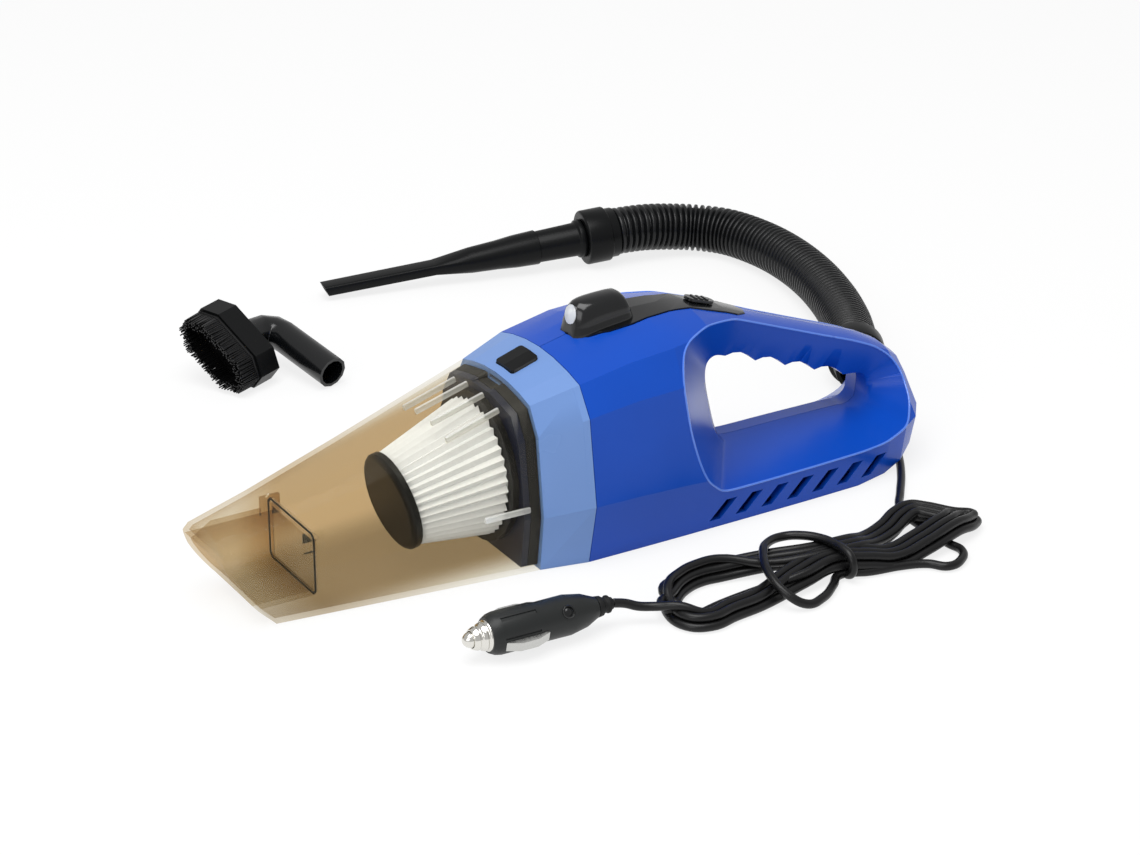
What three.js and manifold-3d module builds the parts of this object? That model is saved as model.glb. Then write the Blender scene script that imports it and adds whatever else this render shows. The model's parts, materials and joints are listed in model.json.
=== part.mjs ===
// A 12 V handheld car vacuum with its hose, crevice tool, brush tool, power cord and plug.
// Millimetres, +Z up. The vacuum lies on its flat sole at z = 0 with its nose towards -X.
// The origin is under the middle of the collar. Inside the code the seam between the collar
// and the two-part housing is x = 0, and the whole group is moved by half the collar at the end.
import * as THREE from 'three';
import { mergeVertices } from 'three/addons/utils/BufferGeometryUtils.js';
import Module from 'manifold-3d';

const wasm = await Module();
wasm.setup();

// ---- driving dimensions -------------------------------------------------------------------
const gap = 0.3; // clearance between pieces that touch
const wall = 2.4; // housing wall
const cupWall = 1.8;
const collarLength = 22;
const collarWall = 2.6;
const collarLipThickness = 2;
const spigotLength = 5; // rim of the collar that enters the housing
const spigotWall = 1.8;

const noseTip = -162; // foremost point of the cup's upper lip
const ductHalfWidth = 18.5;
const ductFloor = 9;
const ductHeight = 22;
const ductInnerEnd = -122;
const ductWall = 1.6;
const flapThickness = 1.2;
const flapPinRadius = 1.2;
const cupRibLength = 26;
const cupRibThickness = 1.6;
const cupRibDepth = 2.4;

const sealThickness = 4.5;
const sealDepth = 5;
const seatThickness = 3;
const filterBaseRadius = 31;
const filterCapRadius = 21.5;
const filterCapX = -72;
const filterCapHeight = 31;
const filterCapTilt = THREE.MathUtils.degToRad(11);
const filterCapThickness = 4.5;
const filterLipDepth = 3.5;
const pleatCount = 22;
const pleatDepth = 3.4;
const pleatPaper = 1.5;
const filterFlangeThickness = 3;
const filterFlangeWidth = 3.2;
const filterFloorRoom = 2; // between the flange and the cup's floor
const filterAxisHeight = filterBaseRadius + filterFlangeWidth + cupWall + filterFloorRoom;
const filterRoom = filterBaseRadius + filterFlangeWidth + gap + cupWall; // the least the cup needs

const fanCaseStart = 8;
const fanCaseDepth = 16;
const fanCaseRadius = 38;
const fanCaseWall = 1.6;
const fanFloorRoom = 1.3; // between the fan case and the housing's floor
const fanRoom = fanCaseRadius + gap + wall; // the least the housing needs
const fanAxisHeight = fanRoom + fanFloorRoom;
const inletEyeRadius = 16;
const impellerTipRoom = 3.4;
const impellerRadius = fanCaseRadius - fanCaseWall - impellerTipRoom;
const bladeCount = 9;
const bladeDepth = 7;
const bladeThickness = 1.2;
const impellerDisc = 1.4;
const hubRadius = 6;
const shaftRadius = 1.6;
const motorPlateThickness = 2;
const motorRadius = 18;
const motorLength = 38;
const motorWall = 1.4;
const endBellLength = 6;
const armatureRadius = 13;
const bearingRadius = 4.5;
const bearingLength = 4;
const cradleThickness = 2;

const gripHalfWidth = 12.5;
const webHalfWidth = 8; // half of the handle's thickness at the rim of the grip opening
const grooveCount = 4; // finger grooves
const grooveDepth = 3;
const ventStart = 62;
const ventCount = 7;
const farVentCount = 4; // on the far side, forward of the scoop
const ventPitch = 14;
const ventWidth = 6;
const ventLean = 8;
const ventBottom = 4;
const ventTop = 13.5;

const screwShankRadius = 1.4;
const screwHeadRadius = 2.8;
const screwHeadHeight = 2;
const screwLength = 12;
const bossWall = 1.7;

const inlayThickness = 1.6;
const inlayProud = 0.6;
const hoodHalfWidth = 9.8;
const hoodHeight = 12.5; // above the crown at the hood's middle
const hoodMiddle = 30;
const hoodRear = 41;
const hoodWall = 1.6;
const lensX = 15.8;
const lensRise = 8.1; // above the crown
const lensRadius = 4.4;
const lensThickness = 1.6;
const reflectorDepth = 5;
const ledRadius = 1.5;

const sliderX = 82;
const sliderLength = 15;
const sliderWidth = 7;
const sliderHeight = 1.3;
const sliderTravel = 6;
const sliderStem = 4;
const switchLength = 17;
const switchWidth = 11;
const switchHeight = 9;

const buttonX = -11.5;
const buttonLength = 13;
const buttonWidth = 15;
const buttonProud = 1.2;
const buttonTravel = 2;
const buttonSpringRadius = 2.6;
const tongueWidth = 11;
const tongueThickness = 1.6;
const tongueLength = 9;

const hoseRadius = 12.5;
const cuffRadius = 14.6;
const cuffLength = 18;
const cuffSeat = 6; // the adapter is pushed in up to here
const adapterRadius = 9;
const adapterLength = 36;
const toolWall = 1.6;
const creviceSocketLength = 22;
const creviceTaperLength = 35; // from the neck to where the blade has its full width
const creviceBladeLength = 99;
const creviceTipWidth = 10.6;
const creviceTipHeight = 5.8;

const brushTubeRadius = 8;
const brushTubeLength = 50;
const brushNeckLength = 6;
const brushBendRadius = 13;
const brushHeadLength = 46;
const brushHeadWidth = 21;
const brushHeadDepth = 14;
const brushHeadChamfer = [9, 6]; // along the head's length and across it
const bristleLength = 13;
const bristleBand = 4;

const cordRadius = 2;
const hankHeight = 12;
const hankWrapWidth = 32;
const hankWrapHeight = 15.6;
const hankWrapPlace = [86.5, -102.6];
const reliefRadius = 3.4;
const plugRadius = 10.5;
const plugBodyLength = 49;
const plugNoseLength = 9;
const plugTipRadius = 3.4;
const plugTipTravel = 2.5;
const plugBootLength = 18;

// ---- materials ----------------------------------------------------------------------------
function plastic(color, roughness) {
  return new THREE.MeshStandardMaterial({ color, roughness, metalness: 0 });
}
function metal(color, roughness) {
  return new THREE.MeshStandardMaterial({ color, roughness, metalness: 1 });
}
const blue = plastic(0x1f43b8, 0.28);
const paleBlue = plastic(0x7c97d6, 0.3);
const glossBlack = plastic(0x262628, 0.22);
const mattBlack = plastic(0x242426, 0.55);
const navy = plastic(0x1e2438, 0.45);
const softBlack = plastic(0x1c1c1c, 0.8);
const paper = plastic(0xdcdedb, 0.9);
const steel = metal(0xc8c8c8, 0.3);
const brass = metal(0xb9a05a, 0.35);
const chrome = metal(0xe6e6e6, 0.12);
const amber = new THREE.MeshStandardMaterial({
  color: 0xc4a06c, roughness: 0.12, metalness: 0, transparent: true, opacity: 0.45 });
const clear = new THREE.MeshStandardMaterial({
  color: 0xf2f4f6, roughness: 0.08, metalness: 0, transparent: true, opacity: 0.4 });

// ---- solids -------------------------------------------------------------------------------
// Turns a closed three.js geometry into a manifold solid, with its faces pointing out.
function solid(geometry) {
  const bare = new THREE.BufferGeometry();
  bare.setAttribute('position', geometry.getAttribute('position').clone());
  if (geometry.index) bare.setIndex(geometry.index.clone());
  const merged = mergeVertices(bare, 1e-4);
  const vertProperties = Float32Array.from(merged.getAttribute('position').array);
  const triVerts = Uint32Array.from(merged.index.array);
  if (signedVolume(vertProperties, triVerts) < 0) triVerts.reverse();
  return new wasm.Manifold(new wasm.Mesh({ numProp: 3, vertProperties, triVerts }));
}

function signedVolume(points, triangles) {
  const corners = [new THREE.Vector3(), new THREE.Vector3(), new THREE.Vector3()];
  let volume = 0;
  for (let i = 0; i < triangles.length; i += 3) {
    corners.forEach((corner, k) => corner.fromArray(points, triangles[i + k] * 3));
    volume += corners[0].dot(corners[1].clone().cross(corners[2])) / 6;
  }
  return volume;
}

// Makes a named mesh of a solid and adds it to its group.
function piece(name, shape, material, group) {
  const mesh = shape.getMesh();
  const geometry = new THREE.BufferGeometry();
  geometry.setAttribute('position', new THREE.BufferAttribute(mesh.vertProperties, 3));
  geometry.setIndex(new THREE.BufferAttribute(mesh.triVerts, 1));
  geometry.computeVertexNormals();
  const part = new THREE.Mesh(geometry, material);
  part.name = name;
  group.add(part);
  return part;
}

function box(x0, x1, y0, y1, z0, z1) {
  const geometry = new THREE.BoxGeometry(x1 - x0, y1 - y0, z1 - z0);
  geometry.translate((x0 + x1) / 2, (y0 + y1) / 2, (z0 + z1) / 2);
  return solid(geometry);
}

// A turned piece about a line along X: the profile lists [x, radius] and starts and ends on the
// axis, or closes on itself.
function turnX(profile, segments, y = 0, z = 0) {
  const geometry = new THREE.LatheGeometry(profile.map(([x, r]) => new THREE.Vector2(r, x)), segments);
  geometry.rotateZ(-Math.PI / 2);
  geometry.translate(0, y, z);
  return solid(geometry);
}

function turnY(profile, segments, x = 0, z = 0) {
  const geometry = new THREE.LatheGeometry(profile.map(([y, r]) => new THREE.Vector2(r, y)), segments);
  geometry.translate(x, 0, z);
  return solid(geometry);
}

function turnZ(profile, segments, x = 0, y = 0) {
  const geometry = new THREE.LatheGeometry(profile.map(([z, r]) => new THREE.Vector2(r, z)), segments);
  geometry.rotateX(Math.PI / 2);
  geometry.translate(x, y, 0);
  return solid(geometry);
}

function rodProfile(start, end, radius) {
  return [[start, 0], [start, radius], [end, radius], [end, 0]];
}

function ringProfile(start, end, inner, outer) {
  return [[start, inner], [start, outer], [end, outer], [end, inner], [start, inner]];
}

// Extrusions of a shape drawn in (x, z), (y, z) or (x, y), along the axis that is left.
function extrudeY(shape, y0, y1, curveSegments = 6) {
  const geometry = new THREE.ExtrudeGeometry(shape, { depth: y1 - y0, bevelEnabled: false, curveSegments });
  geometry.rotateX(Math.PI / 2);
  geometry.translate(0, y1, 0);
  return solid(geometry);
}

function extrudeX(shape, x0, x1, curveSegments = 6) {
  const geometry = new THREE.ExtrudeGeometry(shape, { depth: x1 - x0, bevelEnabled: false, curveSegments });
  const turn = new THREE.Matrix4().makeBasis(
    new THREE.Vector3(0, 1, 0), new THREE.Vector3(0, 0, 1), new THREE.Vector3(1, 0, 0));
  geometry.applyMatrix4(turn);
  geometry.translate(x0, 0, 0);
  return solid(geometry);
}

function extrudeZ(shape, z0, z1, curveSegments = 6) {
  const geometry = new THREE.ExtrudeGeometry(shape, { depth: z1 - z0, bevelEnabled: false, curveSegments });
  geometry.translate(0, 0, z0);
  return solid(geometry);
}

function polygon(points) {
  return new THREE.Shape(points.map(([a, b]) => new THREE.Vector2(a, b)));
}

function roundedRectangle(width, height, radius) {
  const w = width / 2;
  const h = height / 2;
  const shape = new THREE.Shape();
  shape.moveTo(w, -h + radius);
  shape.absarc(w - radius, h - radius, radius, 0, Math.PI / 2);
  shape.absarc(-w + radius, h - radius, radius, Math.PI / 2, Math.PI);
  shape.absarc(-w + radius, -h + radius, radius, Math.PI, 1.5 * Math.PI);
  shape.absarc(w - radius, -h + radius, radius, 1.5 * Math.PI, 2 * Math.PI);
  return shape;
}

function loopNormal(loop) {
  const normal = new THREE.Vector3();
  loop.forEach((point, i) => normal.add(point.clone().cross(loop[(i + 1) % loop.length])));
  return normal.normalize();
}

// The two triangulated ends of a loft lie in the plane of their loop.
function capTriangles(loop) {
  const normal = loopNormal(loop);
  const aside = Math.abs(normal.z) < 0.9 ? new THREE.Vector3(0, 0, 1) : new THREE.Vector3(1, 0, 0);
  const u = aside.cross(normal).normalize();
  const v = normal.clone().cross(u);
  const flat = loop.map((point) => new THREE.Vector2(point.dot(u), point.dot(v)));
  return THREE.ShapeUtils.triangulateShape(flat, []);
}

// Skins a row of loops that have the same number of points.
function loft(loops) {
  const count = loops[0].length;
  const positions = loops.flat().flatMap((point) => [point.x, point.y, point.z]);
  const faces = [];
  for (let ring = 0; ring + 1 < loops.length; ring += 1) {
    for (let i = 0; i < count; i += 1) {
      const a = ring * count + i;
      const b = ring * count + ((i + 1) % count);
      faces.push(a, b, b + count, a, b + count, a + count);
    }
  }
  const last = (loops.length - 1) * count;
  capTriangles(loops[0]).forEach(([a, b, c]) => faces.push(a, c, b));
  capTriangles(loops[loops.length - 1]).forEach(([a, b, c]) => faces.push(last + a, last + b, last + c));
  const geometry = new THREE.BufferGeometry();
  geometry.setAttribute('position', new THREE.Float32BufferAttribute(positions, 3));
  geometry.setIndex(faces);
  return solid(geometry);
}

// ---- the body's form ----------------------------------------------------------------------
// Each section across the body: the height of its crown, then the creases from the top down
// as [half width, height], the half width of the sole and the sole's height. The sections
// round the filter and the fan are as large as those need.
const filterTop = filterAxisHeight + filterRoom;
const fanTop = fanAxisHeight + fanRoom;
const sections = [
  { x: -176, crown: 37.6, creases: [[13.4, 34.6], [18.4, 29.6], [20.6, 22.6]], foot: 18, sole: 0 },
  { x: -135, crown: 47.6, creases: [[18, 43.6], [23.6, 36.8], [27, 24.4]], foot: 23.2, sole: 0 },
  { x: -90, crown: 60.4, creases: [[22.6, 55.6], [29.3, 46.6], [34.2, 25.2]], foot: 28.9, sole: 0 },
  { x: -22, crown: filterTop + 5.5, creases: [[filterRoom - 7.1, filterTop + 0.7], [filterRoom, filterTop - 11.5],
    [filterRoom + 4.5, 26.2]], foot: filterRoom + 1.1, sole: 0 },
  { x: 0, crown: fanTop + 4.1, creases: [[fanRoom - 7, fanTop - 1.3], [fanRoom + 1.7, fanTop - 14.1],
    [fanRoom + 7.5, 29.1]], foot: fanRoom + 1.3, sole: 0 },
  { x: 25, crown: fanTop + 9.9, creases: [[fanRoom - 6.3, fanTop + 3.5], [fanRoom + 2, fanTop - 11.1],
    [fanRoom + 7.4, 28.6]], foot: fanRoom + 1.5, sole: 0 },
  { x: 48, crown: fanTop + 12.1, creases: [[fanRoom - 7.1, fanTop + 5.1], [fanRoom + 1.5, fanTop - 10.5],
    [fanRoom + 6.7, 27.4]], foot: fanRoom + 1.5, sole: 0 },
  { x: 60, crown: 94.6, creases: [[30.5, 88.1], [41, 71.5], [46.8, 26.4]], foot: 42.1, sole: 0 },
  { x: 72, crown: 93.2, creases: [[25, 88.4], [39.5, 70], [46.2, 25.6]], foot: 42, sole: 0 },
  { x: 92, crown: 86.6, creases: [[14.5, 84.4], [35, 65], [45.4, 24.4]], foot: 41.8, sole: 0 },
  { x: 118, crown: 76.2, creases: [[12.5, 74], [31, 58], [44.8, 23.4]], foot: 41.4, sole: 0 },
  { x: 145, crown: 66, creases: [[12.5, 63.6], [28, 49], [43.8, 22.6]], foot: 40.6, sole: 0 },
  { x: 161, crown: 60, creases: [[12.3, 57.6], [26, 46.5], [42.5, 22.6]], foot: 38.8, sole: 1.6 },
  { x: 172, crown: 55.4, creases: [[12, 53.1], [24, 44], [39.5, 23]], foot: 36, sole: 4.6 },
  { x: 181, crown: 50.6, creases: [[10.8, 48.6], [20.4, 41], [34.4, 24]], foot: 30.6, sole: 9.2 },
  { x: 188, crown: 44.8, creases: [[8.4, 43.3], [15, 37.6], [25.4, 25.6]], foot: 22.4, sole: 15 },
  { x: 192, crown: 39.4, creases: [[5.5, 38.4], [9.4, 35], [14, 29]], foot: 11, sole: 22 },
];
const tailEnd = sections[sections.length - 1].x;

// A section's loop, grown outward by an offset (or inward when it is negative).
function sectionLoop(section, offset = 0) {
  const shoulder = section.creases[0];
  const sag = section.crown - shoulder[1];
  const half = [];
  for (const share of [0.35, 0.7]) {
    half.push([share * (shoulder[0] + offset), section.crown + offset - sag * share * share]);
  }
  half.push([shoulder[0] + offset * 0.8, shoulder[1] + offset * 0.8]);
  half.push([section.creases[1][0] + offset, section.creases[1][1] + offset * 0.3]);
  half.push([section.creases[2][0] + offset, section.creases[2][1]]);
  half.push([section.foot + offset, section.sole - offset]);
  const right = half.map(([y, z]) => new THREE.Vector3(section.x, y, z));
  const left = half.map(([y, z]) => new THREE.Vector3(section.x, -y, z)).reverse();
  return [new THREE.Vector3(section.x, 0, section.crown + offset), ...right, ...left];
}

// A section between two listed ones.
function sectionAt(x) {
  const next = Math.max(1, sections.findIndex((section) => section.x >= x));
  const a = sections[next - 1];
  const b = sections[next];
  const t = (x - a.x) / (b.x - a.x);
  const mix = (p, q) => p + (q - p) * t;
  return {
    x,
    crown: mix(a.crown, b.crown),
    creases: a.creases.map(([y, z], i) => [mix(y, b.creases[i][0]), mix(z, b.creases[i][1])]),
    foot: mix(a.foot, b.foot),
    sole: mix(a.sole, b.sole),
  };
}

// The body between two stations, grown by an offset, with every listed section between them.
function bodyForm(x0, x1, offset = 0) {
  const between = sections.filter((section) => section.x > x0 + 0.01 && section.x < x1 - 0.01);
  return loft([sectionAt(x0), ...between, sectionAt(x1)].map((section) => sectionLoop(section, offset)));
}

function crownAt(x) {
  return sectionAt(x).crown;
}

// ---- the grip opening and the dish round it -----------------------------------------------
// Stations round the opening: a point [x, z] on the opening's rim, and the point
// [x, half width, z] where the dish meets the body's skin.
const gripFront = 92;
const gripRear = 158;
const gripFrontHeight = 64.6;
const gripRearHeight = 40.4;

function gripStations() {
  const stations = [];
  const perGroove = 4;
  const total = grooveCount * perGroove;
  for (let i = total; i >= 0; i -= 1) {
    const share = i / total;
    const x = gripFront + (gripRear - gripFront) * share;
    const z = gripFrontHeight + (gripRearHeight - gripFrontHeight) * share;
    const shoulder = sectionAt(x + 2).creases[0];
    const groove = grooveDepth * Math.abs(Math.sin(Math.PI * grooveCount * share));
    stations.push({ rim: [x, z], skin: [x + 2, shoulder[0] * 0.92, shoulder[1] + 0.5], groove });
  }
  return stations;
}

// A station with a scoop share falls away on the far side (+Y), which gives the hand more room.
const dishStations = [
  { rim: [97, 21.6], skin: [74, 44.5, 18], scoop: 1 },
  { rim: [128, 21.4], skin: [122, 44, 18], scoop: 1 },
  { rim: [158, 21.2], skin: [151, 42.5, 18.6], scoop: 1 },
  { rim: [165.6, 21], skin: [164, 40, 20.5], scoop: 1, flare: 0.3 },
  { rim: [170, 23.4], skin: [174, 34, 24], scoop: 0.8, flare: 0.5 },
  { rim: [171.2, 28], skin: [181, 24, 32], scoop: 0.4, flare: 0.4 },
  { rim: [171.2, 35], skin: [182, 16, 41] },
  { rim: [167.5, 39], skin: [176, 12.2, 49] },
  ...gripStations(),
  { rim: [87, 66], skin: [77, 21, 89.3] },
  { rim: [83.4, 64.6], skin: [62, 29, 90] },
  { rim: [81.6, 61], skin: [51.5, 35.4, 85.4] },
  { rim: [81.6, 54], skin: [48, 42.6, 70] },
  { rim: [83.8, 43], skin: [50, 45.5, 50] },
  { rim: [87, 31], skin: [56, 46.8, 31], scoop: 0.3 },
  { rim: [90.6, 25], skin: [64.5, 45.6, 21], scoop: 0.7 },
];
const dishSteps = 4; // between two listed stations
const scoopSlope = 0.56;
const dishReach = 62;
const grooveFade = 2.4; // the grooves run out this far outside the rim of the opening

// The value at a share of the way from b to c on a smooth curve through a, b, c and d.
function smoothValue([a, b, c, d], share) {
  const [start, end] = [(c - a) / 2, (d - b) / 2];
  const bend = 3 * (c - b) - 2 * start - end;
  const twist = 2 * (b - c) + start + end;
  return b + share * (start + share * (bend + share * twist));
}

// The listed stations with others between them on smooth curves. The grooves are close enough.
function smoothStations(listed) {
  const count = listed.length;
  return listed.flatMap((station, i) => {
    const near = [count - 1, 0, 1, 2].map((step) => listed[(i + step) % count]);
    if (near[1].groove !== undefined && near[2].groove !== undefined) return [station];
    const between = Array.from({ length: dishSteps - 1 }, (_, step) => {
      const at = (read) => smoothValue(near.map(read), (step + 1) / dishSteps);
      return {
        rim: [0, 1].map((axis) => at(({ rim }) => rim[axis])),
        skin: [0, 1, 2].map((axis) => at(({ skin }) => skin[axis])),
        scoop: at(({ scoop = 0 }) => scoop),
        flare: at(({ flare = 0 }) => flare),
      };
    });
    return [station, ...between];
  });
}
const dishCurve = smoothStations(dishStations);

function offsetLoop(points, distance) {
  return points.map(([x, z], i) => {
    const before = points[(i + points.length - 1) % points.length];
    const after = points[(i + 1) % points.length];
    const along = new THREE.Vector2(after[0] - before[0], after[1] - before[1]).normalize();
    return [x + along.y * distance, z - along.x * distance];
  });
}

// The dish's outline at a distance from the split plane, on straight lines from rim to skin.
function dishLoop(halfWidth, offset, farSide) {
  const points = dishCurve.map(({ rim: [x, z], skin: [sx, sy, sz], scoop = 0, flare = 0 }) => {
    const stretch = (halfWidth - webHalfWidth) / (sy - webHalfWidth);
    const height = z + (sz - z) * stretch;
    const beyond = halfWidth - webHalfWidth;
    const scooped = z - scoopSlope * beyond;
    if (!farSide) return [x + (sx - x) * stretch, height];
    return [x + (sx - x) * stretch + flare * beyond, height + (scooped - height) * scoop];
  });
  return offsetLoop(points, offset);
}

// The space that the hand goes through: the opening and the dish on both sides of it.
function gripSpace(offset) {
  const loop = (y, grooved = 0) => dishLoop(Math.abs(y), offset, y > 0)
    .map(([x, z], i) => new THREE.Vector3(x, y, z + grooved * (dishCurve[i].groove ?? 0)));
  const fade = webHalfWidth + grooveFade;
  return loft([loop(-dishReach), loop(-fade), loop(-webHalfWidth, 1), loop(webHalfWidth, 1),
    loop(fade), loop(dishReach)]);
}

// ---- housing halves -----------------------------------------------------------------------
// Screws run along Y. Each is [x, z, the distance of its head's seat from the split].
const screwPlaces = [
  [34, 79, 8], [34, 9, 8], [64, 80, 8], [100, 9.6, 8], [146, 9.6, 8], [125, 65, 5], [180.6, 33, 5],
];
const motorPlateStart = fanCaseStart + fanCaseDepth + gap;
const motorStart = motorPlateStart + motorPlateThickness + gap;
const cradlePlaces = [[fanCaseStart + fanCaseDepth / 2, fanCaseRadius], [motorStart + 6, motorRadius],
  [motorStart + 28, motorRadius]];
const reliefX = 177;
const reliefTilt = THREE.MathUtils.degToRad(28);
const reliefSeat = [reliefX, 0, sectionAt(reliefX).sole + 0.2];

const inlaySide = [[15, 5.5], [19, 9.6], [28, 12.2], [40, 12.4], [52, 11], [64, 9.4], [78, 8.8], [98, 8.4], [104, 5]];

// The black strip's outline from above, grown by an offset, as a prism.
function inlayPlan(offset) {
  const farSide = inlaySide.map(([x, y]) => [x, -y]);
  const outline = [[13.5, 0], ...farSide, [105.5, 0], ...inlaySide.slice().reverse()];
  return extrudeZ(polygon(offsetLoop(outline, offset)), crownAt(105) - 20, hoodTop);
}

const sliderTilt = Math.atan2(crownAt(sliderX - 5) - crownAt(sliderX + 5), 10);

// Turns a solid about Y (a positive tilt lowers its +X end) and about Z, then moves it.
function placed(shape, position, tilt = 0, yaw = 0) {
  const matrix = new THREE.Matrix4().compose(
    new THREE.Vector3(...position),
    new THREE.Quaternion().setFromEuler(new THREE.Euler(0, tilt, yaw, 'ZYX')),
    new THREE.Vector3(1, 1, 1));
  return shape.transform(matrix.elements);
}

function sliderSlot() {
  const reach = (sliderStem + sliderTravel) / 2 + gap;
  const slot = box(-reach, reach, -sliderStem / 2 - gap, sliderStem / 2 + gap, -10, 6);
  return placed(slot, [sliderX, 0, crownAt(sliderX)], sliderTilt);
}

function housingCavity() {
  return bodyForm(-4, tailEnd - 4, -wall).subtract(gripSpace(wall));
}

function cradle(x, radius) {
  const slab = box(x - cradleThickness / 2, x + cradleThickness / 2, -60, 60, -5, 100);
  const arms = box(x - 5, x + 5, -60, 60, fanAxisHeight - 9, fanAxisHeight + 9)
    .add(box(x - 5, x + 5, -14, 14, -5, fanAxisHeight));
  const bore = turnX(rodProfile(x - 5, x + 5, radius + gap), 28, 0, fanAxisHeight);
  return slab.intersect(arms).subtract(bore);
}

function ventSlots() {
  const slots = [];
  for (let i = 0; i < ventCount; i += 1) {
    const x = ventStart + i * ventPitch;
    const outline = polygon([[x, ventBottom], [x + ventWidth, ventBottom],
      [x + ventWidth + ventLean, ventTop], [x + ventLean, ventTop]]);
    slots.push(extrudeY(outline, -60, -34));
    if (i < farVentCount) slots.push(extrudeY(outline, 34, 60).translate([-ventPitch * (farVentCount - 1), 0, 0]));
  }
  return wasm.Manifold.union(slots);
}

function reliefHole() {
  const hole = turnX(rodProfile(-12, 12, reliefRadius + gap), 16);
  return placed(hole, reliefSeat, reliefTilt);
}

function housing() {
  const outside = bodyForm(gap / 2, tailEnd).subtract(gripSpace(0));
  const inlayRecess = inlayPlan(gap).subtract(bodyForm(2, 150, inlayProud - inlayThickness - gap));
  const ribs = cradlePlaces.map(([x, radius]) => cradle(x, radius));
  const holes = [inlayRecess, sliderSlot(), ventSlots(), reliefHole()];
  for (const [x, z, seat] of screwPlaces) {
    ribs.push(turnY(rodProfile(-60, 60, screwHeadRadius + gap + bossWall), 8, x, z));
    holes.push(turnY(rodProfile(seat - screwLength - 2, seat + 1, screwShankRadius + gap), 6, x, z));
    holes.push(turnY(rodProfile(seat, 60, screwHeadRadius + gap), 10, x, z));
  }
  const cavity = housingCavity().subtract(wasm.Manifold.union(ribs));
  return outside.subtract(cavity).subtract(wasm.Manifold.union(holes));
}

function housingScrew([x, z, seat]) {
  const shank = turnY(rodProfile(seat - screwLength, seat + gap, screwShankRadius), 6, x, z);
  const head = turnY(rodProfile(seat + gap, seat + gap + screwHeadHeight, screwHeadRadius), 10, x, z);
  const slot = box(x - 0.5, x + 0.5, seat + gap + 1, seat + 9, z - 4, z + 4);
  return shank.add(head).subtract(slot);
}

// The strip follows the crown of the housing and stands a little proud of it.
function topInlay() {
  const sheet = bodyForm(2, 150, inlayProud).subtract(bodyForm(1, 151, inlayProud - inlayThickness));
  return sheet.intersect(inlayPlan(0)).subtract(sliderSlot());
}

// ---- collar -------------------------------------------------------------------------------
const sealStart = -collarLength - gap - sealThickness;
const seatStart = sealStart - gap - seatThickness;
const flangeStart = seatStart - gap - filterFlangeThickness;
const pleatStart = flangeStart - gap;
const tongueTop = crownAt(-collarLength) - collarWall - gap;
const tongueSpace = tongueWidth / 2 + gap;
const buttonFlange = 1.2;
const buttonFlangeTop = crownAt(buttonX - buttonLength / 2 - 1) - collarWall - gap;
const buttonShelfTop = buttonFlangeTop - buttonFlange - buttonTravel - 4.5;
const shelfHalf = buttonWidth / 2 + 1 + gap;

function buttonPrism(grow, z0, z1) {
  const shape = roundedRectangle(buttonLength + 2 * grow, buttonWidth + 2 * grow, 1.4 + grow);
  return extrudeZ(shape, z0, z1, 2).translate([buttonX, 0, 0]);
}

function collar() {
  const outside = bodyForm(-collarLength, -gap / 2);
  const room = bodyForm(-collarLength + collarLipThickness, 0, -collarWall);
  const spigotOuter = wall + gap;
  const spigotInner = spigotOuter + spigotWall;
  const rearFlange = bodyForm(-3, -gap / 2).subtract(bodyForm(-4, 1, -spigotInner));
  const spigot = bodyForm(-3, spigotLength, -spigotOuter).subtract(bodyForm(-4, spigotLength + 1, -spigotInner));
  const airHole = turnX(rodProfile(-30, -10, filterBaseRadius - 2), 28, 0, filterAxisHeight);
  const tongueSlot = box(-30, -15, -tongueSpace, tongueSpace, tongueTop - tongueThickness - gap, tongueTop + gap);
  const shelfWidth = shelfHalf + 1.4;
  const bracket = box(buttonX - 6.2, buttonX + 7, -shelfWidth, shelfWidth, buttonShelfTop - 1.6, 100)
    .subtract(box(buttonX - 20, buttonX + 20, -shelfHalf, shelfHalf, buttonShelfTop, 100))
    .intersect(bodyForm(-collarLength + 1, -1, -collarWall / 2));
  return outside.subtract(room).add(rearFlange).add(spigot).add(bracket)
    .subtract(airHole).subtract(tongueSlot).subtract(buttonPrism(gap, buttonShelfTop + 3, 100));
}

function releaseButton() {
  const cap = buttonPrism(0, buttonFlangeTop - buttonFlange, 100)
    .intersect(bodyForm(-collarLength, -1, buttonProud));
  const flange = box(buttonX - 6, buttonX + buttonLength / 2 + 0.3, -shelfHalf + gap, shelfHalf - gap,
    buttonFlangeTop - buttonFlange, buttonFlangeTop);
  return cap.add(flange);
}

function helix(radius, height, turns) {
  const points = [];
  for (let i = 0; i <= turns * 10; i += 1) {
    const angle = (i / 10) * 2 * Math.PI;
    points.push(new THREE.Vector3(radius * Math.cos(angle), radius * Math.sin(angle), (height * i) / (turns * 10)));
  }
  return new THREE.CatmullRomCurve3(points);
}

function tube(curve, radius, sides, steps) {
  const corners = Array.from({ length: sides }, (_, i) => (i * 2 * Math.PI) / sides);
  const section = polygon(corners.map((angle) => [radius * Math.cos(angle), radius * Math.sin(angle)]));
  return solid(new THREE.ExtrudeGeometry(section, { steps, bevelEnabled: false, extrudePath: curve }));
}

function buttonSpring() {
  const wire = 0.35;
  const height = buttonFlangeTop - buttonFlange - buttonShelfTop - 2 * gap - 2 * wire;
  return tube(helix(buttonSpringRadius, height, 3), wire, 4, 27)
    .translate([buttonX, 0, buttonShelfTop + gap + wire]);
}

// ---- seal, seat and filter ----------------------------------------------------------------
function insideCup(x0, x1, extra = 0) {
  return bodyForm(x0, x1, -cupWall - gap - extra);
}

function tongueNotch() {
  return box(-60, -15, -tongueSpace - 1, tongueSpace + 1, tongueTop - tongueThickness - 2 * gap, 100);
}

function cupSeal() {
  return insideCup(sealStart, -collarLength - gap)
    .subtract(insideCup(sealStart - 1, -collarLength + 1, sealDepth))
    .subtract(tongueNotch());
}

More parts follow.
